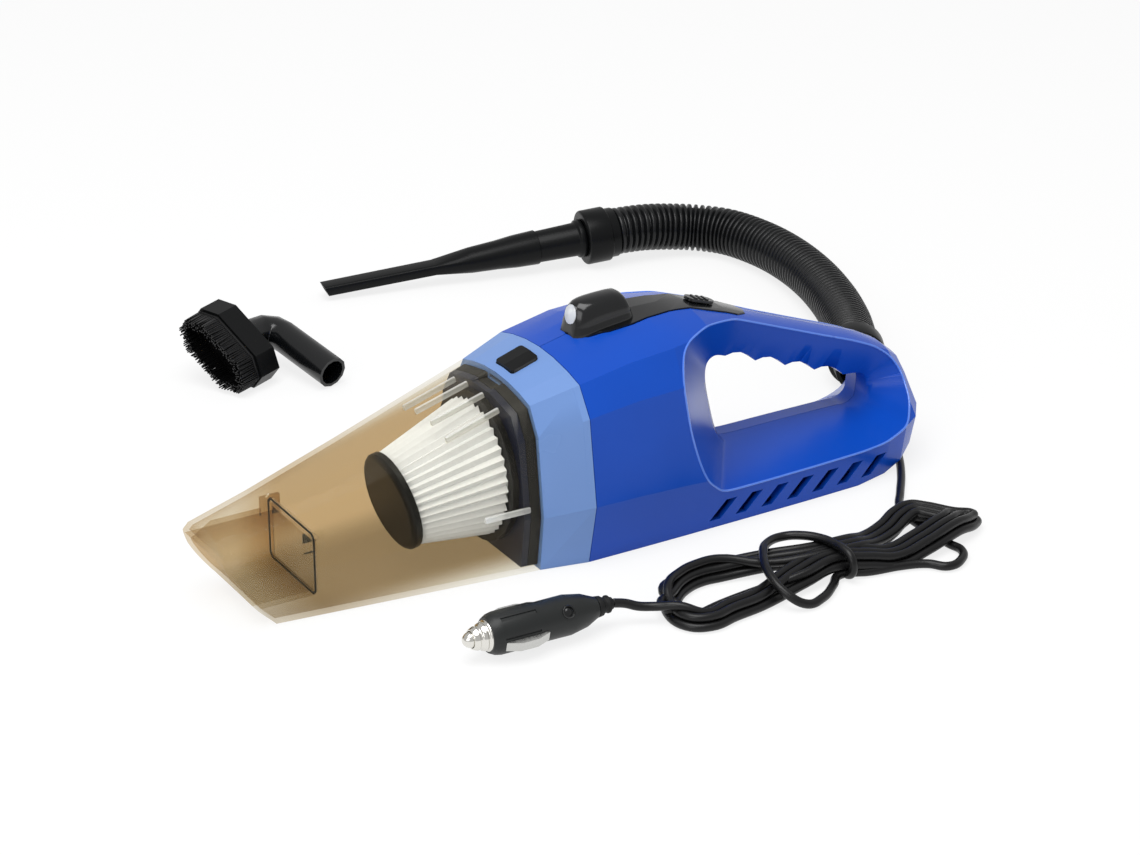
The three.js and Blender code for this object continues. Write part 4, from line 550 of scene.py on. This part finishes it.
def bend_along(bm, line):
    """Moves a mesh that lies along +X onto a line of close points."""
    tangents = [(b - a).normalized() for a, b in zip(line, line[1:])]
    tangents.append(tangents[-1])
    lengths = [0.0]
    for a, b in zip(line, line[1:]):
        lengths.append(lengths[-1] + (b - a).length)
    up = Vector((0, 0, 1))
    ups = []
    for tangent in tangents:
        up = (up - tangent * up.dot(tangent)).normalized()
        ups.append(up)
    index = 0
    for vert in sorted(bm.verts, key=lambda v: v.co.x):
        along = vert.co.x
        while index < len(line) - 2 and lengths[index + 1] < along:
            index += 1
        span = max(lengths[index + 1] - lengths[index], 1e-9)
        share = (along - lengths[index]) / span
        centre = line[index].lerp(line[index + 1], share) if 0 <= share <= 1 else (
            line[index] + tangents[index] * (along - lengths[index]))
        tangent = tangents[index].lerp(tangents[index + 1], min(max(share, 0), 1)).normalized()
        high = ups[index].lerp(ups[index + 1], min(max(share, 0), 1))
        high = (high - tangent * high.dot(tangent)).normalized()
        side = high.cross(tangent)
        vert.co = centre + side * vert.co.y + high * vert.co.z
    return bm

# %% [markdown]
# The route starts inside the grip cuff, falls to the table, turns back in a wide bow and ends in the
# cuff that goes on the vacuum.

# %% Build the hose
HOSE_DIAMETER = 25
RING_PITCH = 3.4
TOOL_SLOPE, TOOL_YAW = 0.068, 168.6
CUFF_RADIUS, CUFF_LENGTH = 14.6, 18
TOOL_START = (194.5, 252.6, CUFF_RADIUS + CUFF_LENGTH * TOOL_SLOPE + 0.25)
REAR_START, REAR_YAW = (215.4, 61.4, CUFF_RADIUS + 0.2), -119.5
TOOL_FRAME = frame_at(TOOL_START, TOOL_YAW, math.degrees(math.asin(TOOL_SLOPE)))
REAR_FRAME = frame_at(REAR_START, REAR_YAW)


def behind(frame_matrix, distance_mm):
    """A point of a piece's own axis, that far behind its start."""
    return frame_matrix @ Vector((-distance_mm * MM, 0, 0))


hose_route = [behind(TOOL_FRAME, 0.3), behind(TOOL_FRAME, 3)]
hose_route += [world(p) for p in [
    (211, 249.6, 16.2), (225.6, 246.4, 14.8), (239.4, 240.4, 13.4), (250.8, 227.5, 13), (257.2, 205, 12.8),
    (258, 180, 12.8), (253.8, 150.7, 12.8), (245, 120.5, 12.8), (234.4, 95, 12.9), (223.8, 75.6, 13.8)]]
hose_route += [behind(REAR_FRAME, 3), behind(REAR_FRAME, 0.3)]
hose_line = smooth_line(hose_route)
HOSE_LENGTH = polyline_length(hose_line)

rings = round(HOSE_LENGTH / MM / RING_PITCH)
pitch = HOSE_LENGTH / MM / rings
crest, valley, wall = HOSE_DIAMETER / 2, HOSE_DIAMETER / 2 - 1.9, 0.8
wave = []
for ring in range(rings):
    x = ring * pitch
    wave += [(x, valley), (x + 0.14 * pitch, valley + 0.3), (x + 0.24 * pitch, crest - 0.35),
             (x + 0.36 * pitch, crest), (x + 0.64 * pitch, crest), (x + 0.76 * pitch, crest - 0.35),
             (x + 0.86 * pitch, valley + 0.3)]
outside = wave + [(rings * pitch, valley)]
inside = [(ring * pitch, valley - wall) for ring in range(rings, -1, -1)]
hose_mesh = turned(outside + inside + [outside[0]], steps=40, bevel_mm=0)
hose = make_piece("hose_corrugated", bend_along(hose_mesh, hose_line), hose_eva, ["hose"], sharp=60)
print("hose length, m:", round(HOSE_LENGTH, 3), "rings:", rings)

# %% [markdown]
# The cuffs and the adapter are turned. The grip cuff has a rounded lip, and the adapter that slides
# into it carries a collar; its small locking dot is not modelled.

# %% Cuffs and adapter
ADAPTER_RADIUS, ADAPTER_LENGTH, CUFF_SEAT, TOOL_WALL = 9, 36, 6, 1.6
inner = ADAPTER_RADIUS + GAP
hose_cuff = make_piece("hose_cuff_turned", move(turned([
    (0, inner - 1.4), (0, CUFF_RADIUS - 1.4), (4.4, CUFF_RADIUS - 1.4), (5, CUFF_RADIUS),
    (CUFF_LENGTH - 0.8, CUFF_RADIUS), (CUFF_LENGTH, CUFF_RADIUS - 0.8), (CUFF_LENGTH, inner), (CUFF_SEAT, inner),
    (CUFF_SEAT, inner - 1.4), (0, inner - 1.4)], bevel_mm=0.4), TOOL_FRAME), grained_black, ["hose_cuff"])

end = CUFF_LENGTH + ADAPTER_LENGTH
bore = ADAPTER_RADIUS - TOOL_WALL - 1.4
spigot = ADAPTER_RADIUS - TOOL_WALL - GAP
hose_adapter = make_piece("hose_adapter_turned", move(turned([
    (CUFF_SEAT + GAP, bore), (CUFF_SEAT + GAP, ADAPTER_RADIUS), (CUFF_LENGTH + GAP, ADAPTER_RADIUS),
    (CUFF_LENGTH + GAP, ADAPTER_RADIUS + 1.2), (CUFF_LENGTH + 3, ADAPTER_RADIUS + 1.2),
    (CUFF_LENGTH + 4, ADAPTER_RADIUS), (end - 10, ADAPTER_RADIUS - 0.6), (end - 10, spigot), (end, spigot - 0.3),
    (end, bore), (CUFF_SEAT + GAP, bore)], bevel_mm=0.3), TOOL_FRAME), grained_black, ["hose_adapter"])

rear_cuff = make_piece("hose_rear_cuff_turned", move(turned([
    (0, 9.6), (0, CUFF_RADIUS - 1), (1, CUFF_RADIUS), (14, CUFF_RADIUS), (15, CUFF_RADIUS - 2),
    (26, CUFF_RADIUS - 2.8), (26, CUFF_RADIUS - 4.8), (6, CUFF_RADIUS - 4), (6, 9.6), (0, 9.6)], bevel_mm=0.4),
    REAR_FRAME), grained_black, ["hose_rear_cuff"])

# %% [markdown]
# ## The housing and the other moulded shells
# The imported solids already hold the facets, the dish and the finger grooves at their true places, so
# each shell is a merged copy of its solid. Merging joins the loose triangles, dissolving removes the
# lines across flat faces, and the shading keeps only the real creases sharp.

# %% Copy a CAD solid as a clean shell
def shell_from(node, flat_degrees=0.5):
    """A merged copy of a CAD node's mesh, with the lines across its flat faces dissolved."""
    bm = bmesh.new()
    bm.from_mesh(NODES[node].data)
    bmesh.ops.remove_doubles(bm, verts=bm.verts, dist=2e-6)
    bmesh.ops.dissolve_limit(bm, angle_limit=math.radians(flat_degrees), verts=bm.verts, edges=bm.edges)
    return bm


SHELLS = [
    ("front_collar", pale_abs, "collar_blue", 10), ("top_inlay", polished_black, "gloss_black", 26),
    ("release_button", grained_black, "matt_black", 30),
    ("power_slider", polished_black, "gloss_black", 30), ("cup_seal", seal_rubber, "black_rubber", 30),
    ("filter_seat", navy_abs, "navy_plastic", 30), ("filter_flange", grained_black, "matt_black", 40),
    ("filter_cap", grained_black, "matt_black", 40), ("dust_cup", amber_pc, "amber_clear", 10),
    ("inlet_flap", flap_pc, "clear_plastic", 30),
    ("crevice_tool", grained_black, "matt_black", 50), ("brush_elbow", polished_black, "matt_black", 50),
    ("brush_head", grained_black, "matt_black", 30)]
for node, finish, slot_name, sharp in SHELLS:
    shell = make_piece(node + "_shell", shell_from(node), finish, [node], sharp)
    shell.modifiers.new("even_shading", "WEIGHTED_NORMAL").keep_sharp = True

# %% [markdown]
# The lamp's hood is an arch with round shoulders and a small flared foot. It is lofted: rings of the
# same form, each with its own place, width and height, are bridged from the tail to the lens, and
# back inside as the hood's inner wall.

# %% Loft the lamp's hood
LENS_CENTRE, LENS_LEAN, LENS_HOLE = Vector((26.6, 0, 98.6)), math.radians(14), 4.6
HOOD_HALF_WIDTH, FOOT_FLARE = 8.7, 0.9


def hood_ring(x, lean, half_width, top, crown, inset=0.0):
    """A ring across the hood. x is its place at the crown, lean how far it moves back per mm up."""
    foot, wide = crown + 2.2, half_width - inset
    flare = wide + FOOT_FLARE * (half_width / HOOD_HALF_WIDTH) ** 4
    arch = []
    for step in range(-16, 17):
        angle = math.pi / 2 * step / 16
        arch.append((math.copysign(wide * abs(math.sin(angle)) ** 0.84, angle),
                     foot + (top - inset - foot) * max(math.cos(angle), 0) ** 0.84))
    low = [(share * flare / 4, crown - 0.8) for share in range(4, -5, -1)]
    outline = arch + [(flare, crown + 0.8)] + low + [(-flare, crown + 0.8)]
    return [Vector((x + lean * (z - crown), y, z)) * MM for y, z in outline]


def lens_ring(around, depth):
    """The lens's round hole, with each place facing its place in another ring."""
    up = Vector((math.sin(LENS_LEAN), 0, math.cos(LENS_LEAN)))
    back = Vector((math.cos(LENS_LEAN), 0, -math.sin(LENS_LEAN)))
    ring = []
    for place in around:
        offset = place / MM - LENS_CENTRE
        out = Vector((0, offset.y, 0)) + up * offset.dot(up)
        ring.append((LENS_CENTRE + back * depth + out.normalized() * LENS_HOLE) * MM)
    return ring


HOOD = [(54.5, -0.3, 4, 98, 94.6), (54.4, -0.28, 6.2, 100.6, 94.6), (53.9, -0.24, 7.4, 102.8, 94.6),
        (52.8, -0.18, 8.2, 104.4, 94.5), (50.6, -0.1, 8.6, 105.3, 94.3), (46.5, 0, 8.7, 105.5, 94),
        (40, 0.04, 8.7, 105.4, 93.3), (34, 0.1, 8.7, 105.1, 92.4), (30.2, 0.17, 8.4, 104.8, 91.5),
        (27.6, 0.22, 7.6, 104.5, 90.9), (26.1, 0.24, 6.6, 104.1, 90.7), (25.2, 0.25, 5.7, 103.6, 90.5),
        (24.9, 0.24, 5.2, 103.3, 90.4)]
face_ring = hood_ring(*HOOD[-1])
hood_rings = [hood_ring(*station) for station in HOOD[:-1]] + [face_ring, lens_ring(face_ring, 0),
                                                               lens_ring(face_ring, 1.6)]
hood_rings += [hood_ring(*HOOD[place], inset=1.6) for place in (9, 7, 5, 3)]
make_piece("lamp_hood_lofted", loft(bmesh.new(), hood_rings), polished_black, ["lamp_hood"], 60)

# %% [markdown]
# ## Ribs and edging of the cup
# Five short ribs stiffen the cup's mouth. Polished ribs of clear plastic show as bright lines, as
# their edges gather light. Each is a bar with rounded edges. A thin dark edging marks the inner end
# of the duct, where the flap closes.

# %% Add the ribs and the duct's edging
CUP_RIBS = [((-57.6, -19, 63.4), (-31.6, -19, 71.4)), ((-57.6, -6, 66.1), (-31.6, -6, 73.6)),
            ((-57.6, 8, 66), (-31.6, 8, 73.5)), ((-57.6, 19, 63.4), (-31.6, 19, 71.4)),
            ((-49, -37, 30.5), (-27, -37.6, 30.5))]
ribs = bmesh.new()
for first, last in CUP_RIBS:
    start, finish = world(first), world(last)
    turn = (finish - start).to_track_quat("X", "Z").to_matrix().to_4x4()
    size = Matrix.Diagonal(((finish - start).length, 1.8 * MM, 2.6 * MM, 1))
    bmesh.ops.create_cube(ribs, size=1, matrix=Matrix.Translation((start + finish) / 2) @ turn @ size)
bevel_sharp(ribs, 0.5)
make_piece("cup_ribs_clear", ribs, rib_pc, [], beside="dust_cup")

DUCT_END, DUCT_HALF_WIDTH, DUCT_LOW, DUCT_HIGH = -122.9, 21.9, 7.6, 36.4


def duct_ring(x, inset):
    """A rectangle with cut corners at the duct's end, shrunk by an inset."""
    wide, low, high, cut = DUCT_HALF_WIDTH - inset, DUCT_LOW + inset, DUCT_HIGH - inset, 2
    half = [(wide, low + cut), (wide, high - cut), (wide - cut, high)]
    outline = half + [(-y, z) for y, z in reversed(half)] + [(cut - wide, low), (wide - cut, low)]
    return [world((x, y, z)) for y, z in outline]


edging = loft(bmesh.new(), [duct_ring(DUCT_END, 0), duct_ring(DUCT_END + 0.6, 0), duct_ring(DUCT_END + 0.6, 0.6),
                            duct_ring(DUCT_END, 0.6)], joined=True)
make_piece("duct_edging", edging, seal_rubber, [], beside="dust_cup")

# %% [markdown]
# ## The housing halves
# The light on the housing tells its form: flat facets that meet in crisp creases, and a smooth dish
# round the grip with a raised, polished lip. The solid's triangles are long and thin, so plain
# smooth shading would streak them. Each corner of a triangle is given its own normal instead: on the
# facets the average of the nearly level faces round it, and in the dish an average that is passed
# on from neighbour to neighbour.

# %% Shade the housing evenly
GRIP_CENTRE = world((124, 0, 42))
HANDLE_SLOPE = 0.367  # how far the handle falls towards the tail, per mm


def faces_grip(place, normal):
    """True on the dish and on the walls of the opening, which look towards the middle of the grip."""
    along, height = place.x / MM - SEAM_X, place.z / MM
    under_handle = 84 < along < 178 and height > 62 - HANDLE_SLOPE * (along - 92) and normal.z < -0.1
    if under_handle and place.y * normal.y > -0.002:
        return True
    inward = Vector((GRIP_CENTRE.x - place.x, 0, GRIP_CENTRE.z - place.z)).normalized()
    near = GRIP_CENTRE.x - 82 * MM < place.x < GRIP_CENTRE.x + 60 * MM
    return near and normal.dot(inward) > 0.22 and place.z > 12 * MM


def level_average(mine, others, limit_degrees):
    """The average of those weighted normals that lie within an angle of one of them."""
    least = math.cos(math.radians(limit_degrees))
    total = sum((normal * weight for normal, weight in others if normal.dot(mine) > least), Vector())
    return total.normalized() if total.length > 1e-12 else mine


def shade_housing(piece):
    mesh = piece.data
    around = [[] for _ in mesh.vertices]
    for face in mesh.polygons:
        for corner in face.vertices:
            around[corner].append(face.index)
    dish = [faces_grip(face.center, face.normal) for face in mesh.polygons]
    flat = [(face.normal.copy(), face.area) for face in mesh.polygons]
    linked = [set() for _ in mesh.vertices]
    for face in mesh.polygons:
        if dish[face.index]:
            for corner in face.vertices:
                linked[corner].update(face.vertices)
    rounded = {}
    for corner, faces in enumerate(around):
        inside = [flat[f] for f in faces if dish[f]]
        if inside:
            rounded[corner] = sum((n * a for n, a in inside), Vector()).normalized()
    for _ in range(10):
        rounded = {corner: level_average(normal, [(rounded[other], 1.0) for other in linked[corner]], 22)
                   for corner, normal in rounded.items()}
    normals = []
    for face in mesh.polygons:
        for corner in face.vertices:
            if dish[face.index]:
                passed_on = rounded[corner]
                normals.append(passed_on if passed_on.dot(face.normal) > 0.8 else face.normal)
            else:
                normals.append(level_average(face.normal, [flat[f] for f in around[corner] if not dish[f]], 10))
    mesh.normals_split_custom_set([tuple(n) for n in normals])
    return dish


def lip_path(mesh, dish, side):
    """The longest line of edges where the dish meets the skin, on one side of the split."""
    sharing = {}
    for face in mesh.polygons:
        for key in face.edge_keys:
            sharing.setdefault(key, []).append(dish[face.index])
    steps = {}
    for (a, b), kinds in sharing.items():
        if sorted(kinds) == [False, True] and min(mesh.vertices[a].co.y * side, mesh.vertices[b].co.y * side) > 7 * MM:
            steps.setdefault(a, []).append(b)
            steps.setdefault(b, []).append(a)
    paths = []
    while steps:
        start = next((v for v in steps if len(steps[v]) == 1), next(iter(steps)))
        path = [start]
        while steps.get(path[-1]):
            following = steps[path[-1]].pop()
            steps[following].remove(path[-1])
            path.append(following)
        for vertex in [v for v in steps if not steps[v]]:
            del steps[vertex]
        paths.append([mesh.vertices[v].co.copy() for v in path])
    return max(paths, key=polyline_length)


housing_pieces = []
for node in ("housing_left", "housing_right"):
    half = make_piece(node + "_shell", shell_from(node, 0.05), blue_abs, [node], 180)
    dish_faces = shade_housing(half)
    housing_pieces.append((half, dish_faces))
    print(node, "faces in the dish:", sum(dish_faces))

# %% [markdown]
# The lip is a thin bead, half sunk in the edge of the dish, and its paler blue is a painted highlight
# along that edge. Its line is the longest run of edges where the dish meets the skin. Even steps and a
# little levelling make that line smooth, and a straight rod is carried onto it, as with the hose. On
# the far side the scoop has no edge low down, so the bead there runs out before it.

# %% Lay the lip round the dish
LIP_RADIUS, LIP_STEP, LIP_FADE = 0.5, 1.6, 8


def even_line(points, step):
    """Points at even steps along a line, each levelled a little by its neighbours."""
    lengths = [0.0]
    for a, b in zip(points, points[1:]):
        lengths.append(lengths[-1] + (b - a).length)
    count = round(lengths[-1] / step)
    line, span = [], 0
    for i in range(count + 1):
        along = lengths[-1] * i / count
        while span < len(points) - 2 and lengths[span + 1] < along:
            span += 1
        line.append(points[span].lerp(points[span + 1], (along - lengths[span]) / (lengths[span + 1] - lengths[span])))
    for _ in range(3):
        line = line[:1] + [(a + 2 * b + c) / 4 for a, b, c in zip(line, line[1:], line[2:])] + line[-1:]
    return line


def above(loop, height):
    """The part of a closed line that lies above a height, in one run."""
    lowest = min(range(len(loop)), key=lambda i: loop[i].z)
    return [place for place in loop[lowest:] + loop[:lowest] if place.z > height]


for (half, dish_faces), side, height in zip(housing_pieces, (-1, 1), (0, 36)):
    edge = lip_path(half.data, dish_faces, side)
    lip = even_line(above(edge, height * MM) if height else edge, LIP_STEP * MM)
    length = polyline_length(lip) / MM
    stations = [length * i / len(lip) for i in range(len(lip) + 1)]
    fade = LIP_FADE if height else 0.01
    outline = [(x, LIP_RADIUS * min(1, (x + 0.005) / fade, (length - x + 0.005) / fade)) for x in stations]
    rod = turned([(0, 0)] + outline + [(length, 0)], steps=10, bevel_mm=0)
    # The lip's paler blue finish is a painted highlight.
    make_piece(half.name.replace("shell", "lip"), bend_along(rod, lip), lip_painted_highlight_abs, [],
               beside="housing_left")
    print("lip length, mm:", round(length))

# %% [markdown]
# ## The filter's pleats
# The paper is folded to and fro, so that a small filter has a large surface. A circle whose every
# second point is pulled in is one fold line after another. Four such rings, outer and inner at each
# end, are bridged to make the folded paper with its thickness.

# %% Fold the filter paper
PLEATS, PLEAT_DEPTH, PAPER = 40, 2.3, 1.0
CAP_TILT = math.radians(11)


def fold_ring(bm, place, tilt, radius):
    """A zigzag ring across the filter's axis. Returns its edges."""
    matrix = Matrix.Translation(place) @ Matrix.Rotation(math.pi / 2 - tilt, 4, "Y")
    verts = bmesh.ops.create_circle(bm, segments=2 * PLEATS, radius=radius * MM, matrix=matrix)["verts"]
    for vert in verts[1::2]:
        vert.co = place + (vert.co - place) * (1 - PLEAT_DEPTH / radius)
    return list({edge for vert in verts for edge in vert.link_edges})


pleats = bmesh.new()
cap_place, base_place = world((-71.6, 0, 31.05)), world((-33.75, 0, 38))
folds = [fold_ring(pleats, cap_place, CAP_TILT, 21.4), fold_ring(pleats, base_place, 0, 30.9),
         fold_ring(pleats, base_place, 0, 30.9 - PAPER), fold_ring(pleats, cap_place, CAP_TILT, 21.4 - PAPER)]
for first, second in zip(folds, folds[1:] + folds[:1]):
    bmesh.ops.bridge_loops(pleats, edges=first + second)
bmesh.ops.recalc_face_normals(pleats, faces=pleats.faces)
make_piece("filter_pleats_folded", pleats, pleat_paper, ["filter_pleats"], 20)

# %% [markdown]
# ## The brush
# The bristles stand in rows round the head's open side. Real ones are 0.2 mm thick. Here they are
# 0.9 mm thick, so that they close up to a dense brush, and each is a five-sided rod that leans a
# little its own way.

# %% Plant the bristles
BRUSH_FRAME = frame_at((-22.2, 228.2, 18), -153.3) @ Matrix.Rotation(math.radians(-38), 4, "X")
HEAD_HALF_LENGTH, HEAD_HALF_WIDTH, BRISTLE_FOOT, BRISTLE_TIP = 23, 10.5, 33.6, 46.4
CHAMFER_ALONG, CHAMFER_ACROSS = 9, 6


def head_outline(inset):
    """The eight corners of the head, as places along and across it, shrunk by an inset."""
    along, across = HEAD_HALF_LENGTH - inset, HEAD_HALF_WIDTH - inset
    quarter = [(along, across - CHAMFER_ACROSS), (along - CHAMFER_ALONG, across)]
    half = quarter + [(-y, z) for y, z in reversed(quarter)]
    return half + [(-y, -z) for y, z in half]


def add_band(bm, x0, x1, outer, inner):
    """A flat ring between two outlines, as thick as x0 to x1."""
    loops = [[bm.verts.new((x * MM, y * MM, z * MM)) for y, z in head_outline(inset)]
             for x, inset in ((x0, outer), (x1, outer), (x1, inner), (x0, inner))]
    edges = [[bm.edges.new((loop[i - 1], loop[i])) for i in range(len(loop))] for loop in loops]
    for first, second in zip(edges, edges[1:] + edges[:1]):
        bmesh.ops.bridge_loops(bm, edges=first + second)


bristles = bmesh.new()
add_band(bristles, BRISTLE_FOOT, BRISTLE_FOOT + 1.5, 0.8, 4)
lean = random.Random(4)
for inset, spacing in ((1.2, 0.95), (2.0, 1.0), (2.8, 1.0), (3.6, 1.0)):
    corners_in = head_outline(inset)
    for (y0, z0), (y1, z1) in zip(corners_in, corners_in[1:] + corners_in[:1]):
        count = max(1, round(math.hypot(y1 - y0, z1 - z0) / spacing))
        for i in range(count):
            y, z = y0 + (y1 - y0) * i / count, z0 + (z1 - z0) * i / count
            tip = Vector((BRISTLE_TIP - lean.uniform(0, 1.4), y + lean.uniform(-0.5, 0.5), z + lean.uniform(-0.5, 0.5)))
            foot = Vector((BRISTLE_FOOT + 1.2, y, z))
            turn = (tip - foot).to_track_quat("Z", "Y").to_matrix().to_4x4()
            bmesh.ops.create_cone(bristles, cap_ends=True, segments=5, radius1=0.45 * MM, radius2=0.36 * MM,
                                  depth=(tip - foot).length * MM,
                                  matrix=Matrix.Translation((foot + tip) / 2 * MM) @ turn)
bmesh.ops.recalc_face_normals(bristles, faces=bristles.faces)
make_piece("brush_bristles_planted", move(bristles, BRUSH_FRAME), bristle_nylon, ["brush_bristles"], 50)

# %% [markdown]
# ## The solids that stay
# The pieces inside the housing keep their solids, and each gets the finish of its real material. Only
# the button's spring is a copy, with a mesh of its own. The real spring shortens by the 2 mm of the button's travel.

# %% Give each remaining solid its finish
KEPT = {
    drawn_steel: ["impeller", "motor_plate", "motor_screw_1", "motor_screw_2", "motor_can",
                  "armature", "plug_spring", "plug_contact_left", "plug_contact_right"]
                 + [f"housing_screw_{i}" for i in range(1, 8)],
    turned_brass: ["impeller_nut", "front_bearing", "rear_bearing"],
    grained_black: ["fan_case", "motor_end_bell", "power_switch"],
    nickel_plate: ["lamp_reflector"],
    lens_acrylic_painted_bright: ["lamp_lens", "lamp_led", "plug_fuse"],
}
coil = make_piece("button_spring_coil", shell_from("button_spring"), drawn_steel, ["button_spring"], 40)
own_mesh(coil)

for finish, names in KEPT.items():
    for name in names:
        NODES[name].data.materials.clear()
        NODES[name].data.materials.append(finish)

# %% [markdown]
# ## Stage and light
# The vacuum stands on a white table. Two large soft lamps and an even sky light it. To the camera
# the table is nearly white by itself, and the rest of its brightness is real light, so the objects
# keep their soft shadows.

# %% Table, lamps and sky
def stage_finish():
    material, tree, output, where = start_material("table_white")
    light_path = add_node(tree, "ShaderNodeLightPath")
    seen = add_node(tree, "ShaderNodeMath", {0: light_path.outputs["Is Camera Ray"],
                                             1: light_path.outputs["Is Glossy Ray"]}, operation="ADD")
    seen = add_node(tree, "ShaderNodeMath", {0: seen.outputs[0], 1: light_path.outputs["Is Transmission Ray"]},
                    operation="ADD")
    share = add_node(tree, "ShaderNodeMath", {0: seen.outputs[0], 1: 0.8}, operation="MULTIPLY", use_clamp=True)
    matt = add_node(tree, "ShaderNodeBsdfDiffuse", {"Color": (0.86, 0.86, 0.86, 1)})
    white = add_node(tree, "ShaderNodeEmission", {"Color": (1, 1, 1, 1), "Strength": 1.0})
    mix = add_node(tree, "ShaderNodeMixShader", {0: share.outputs[0], 1: matt.outputs[0], 2: white.outputs[0]})
    tree.links.new(mix.outputs[0], output.inputs["Surface"])
    return material


table_bm = bmesh.new()
bmesh.ops.create_grid(table_bm, x_segments=1, y_segments=1, size=6)
bmesh.ops.translate(table_bm, verts=table_bm.verts, vec=(0, 0, -0.0002))
table_mesh = bpy.data.meshes.new("table")
table_bm.to_mesh(table_mesh)
table_bm.free()
table_mesh.materials.append(stage_finish())
table = bpy.data.objects.new("table", table_mesh)
bpy.context.scene.collection.objects.link(table)


def soft_lamp(name, place, size, power):
    """A square area lamp that looks at the vacuum."""
    data = bpy.data.lights.new(name, "AREA")
    data.shape = "SQUARE"
    data.size = size
    data.energy = power
    lamp = bpy.data.objects.new(name, data)
    bpy.context.scene.collection.objects.link(lamp)
    lamp.location = place
    lamp.rotation_euler = (AIM - Vector(place)).to_track_quat("-Z", "Y").to_euler()
    return lamp


soft_lamp("lamp_above", (-0.3, -0.2, 1.5), 1.1, 19)
soft_lamp("lamp_left", (-1.5, -0.9, 0.9), 0.9, 7)

sky = bpy.data.worlds.new("sky")
bpy.context.scene.world = sky
sky.use_nodes = True
sky.node_tree.nodes.clear()
sky_path = add_node(sky.node_tree, "ShaderNodeLightPath")
sky_share = add_node(sky.node_tree, "ShaderNodeMapRange", {"Value": sky_path.outputs["Is Camera Ray"],
                                                         "To Min": 0.56, "To Max": 1.0})
sky_light = add_node(sky.node_tree, "ShaderNodeBackground", {"Color": (1, 1, 1, 1),
                                                           "Strength": sky_share.outputs["Result"]})
sky_out = add_node(sky.node_tree, "ShaderNodeOutputWorld", {"Surface": sky_light.outputs[0]})
bpy.context.scene.view_settings.view_transform = "Standard"
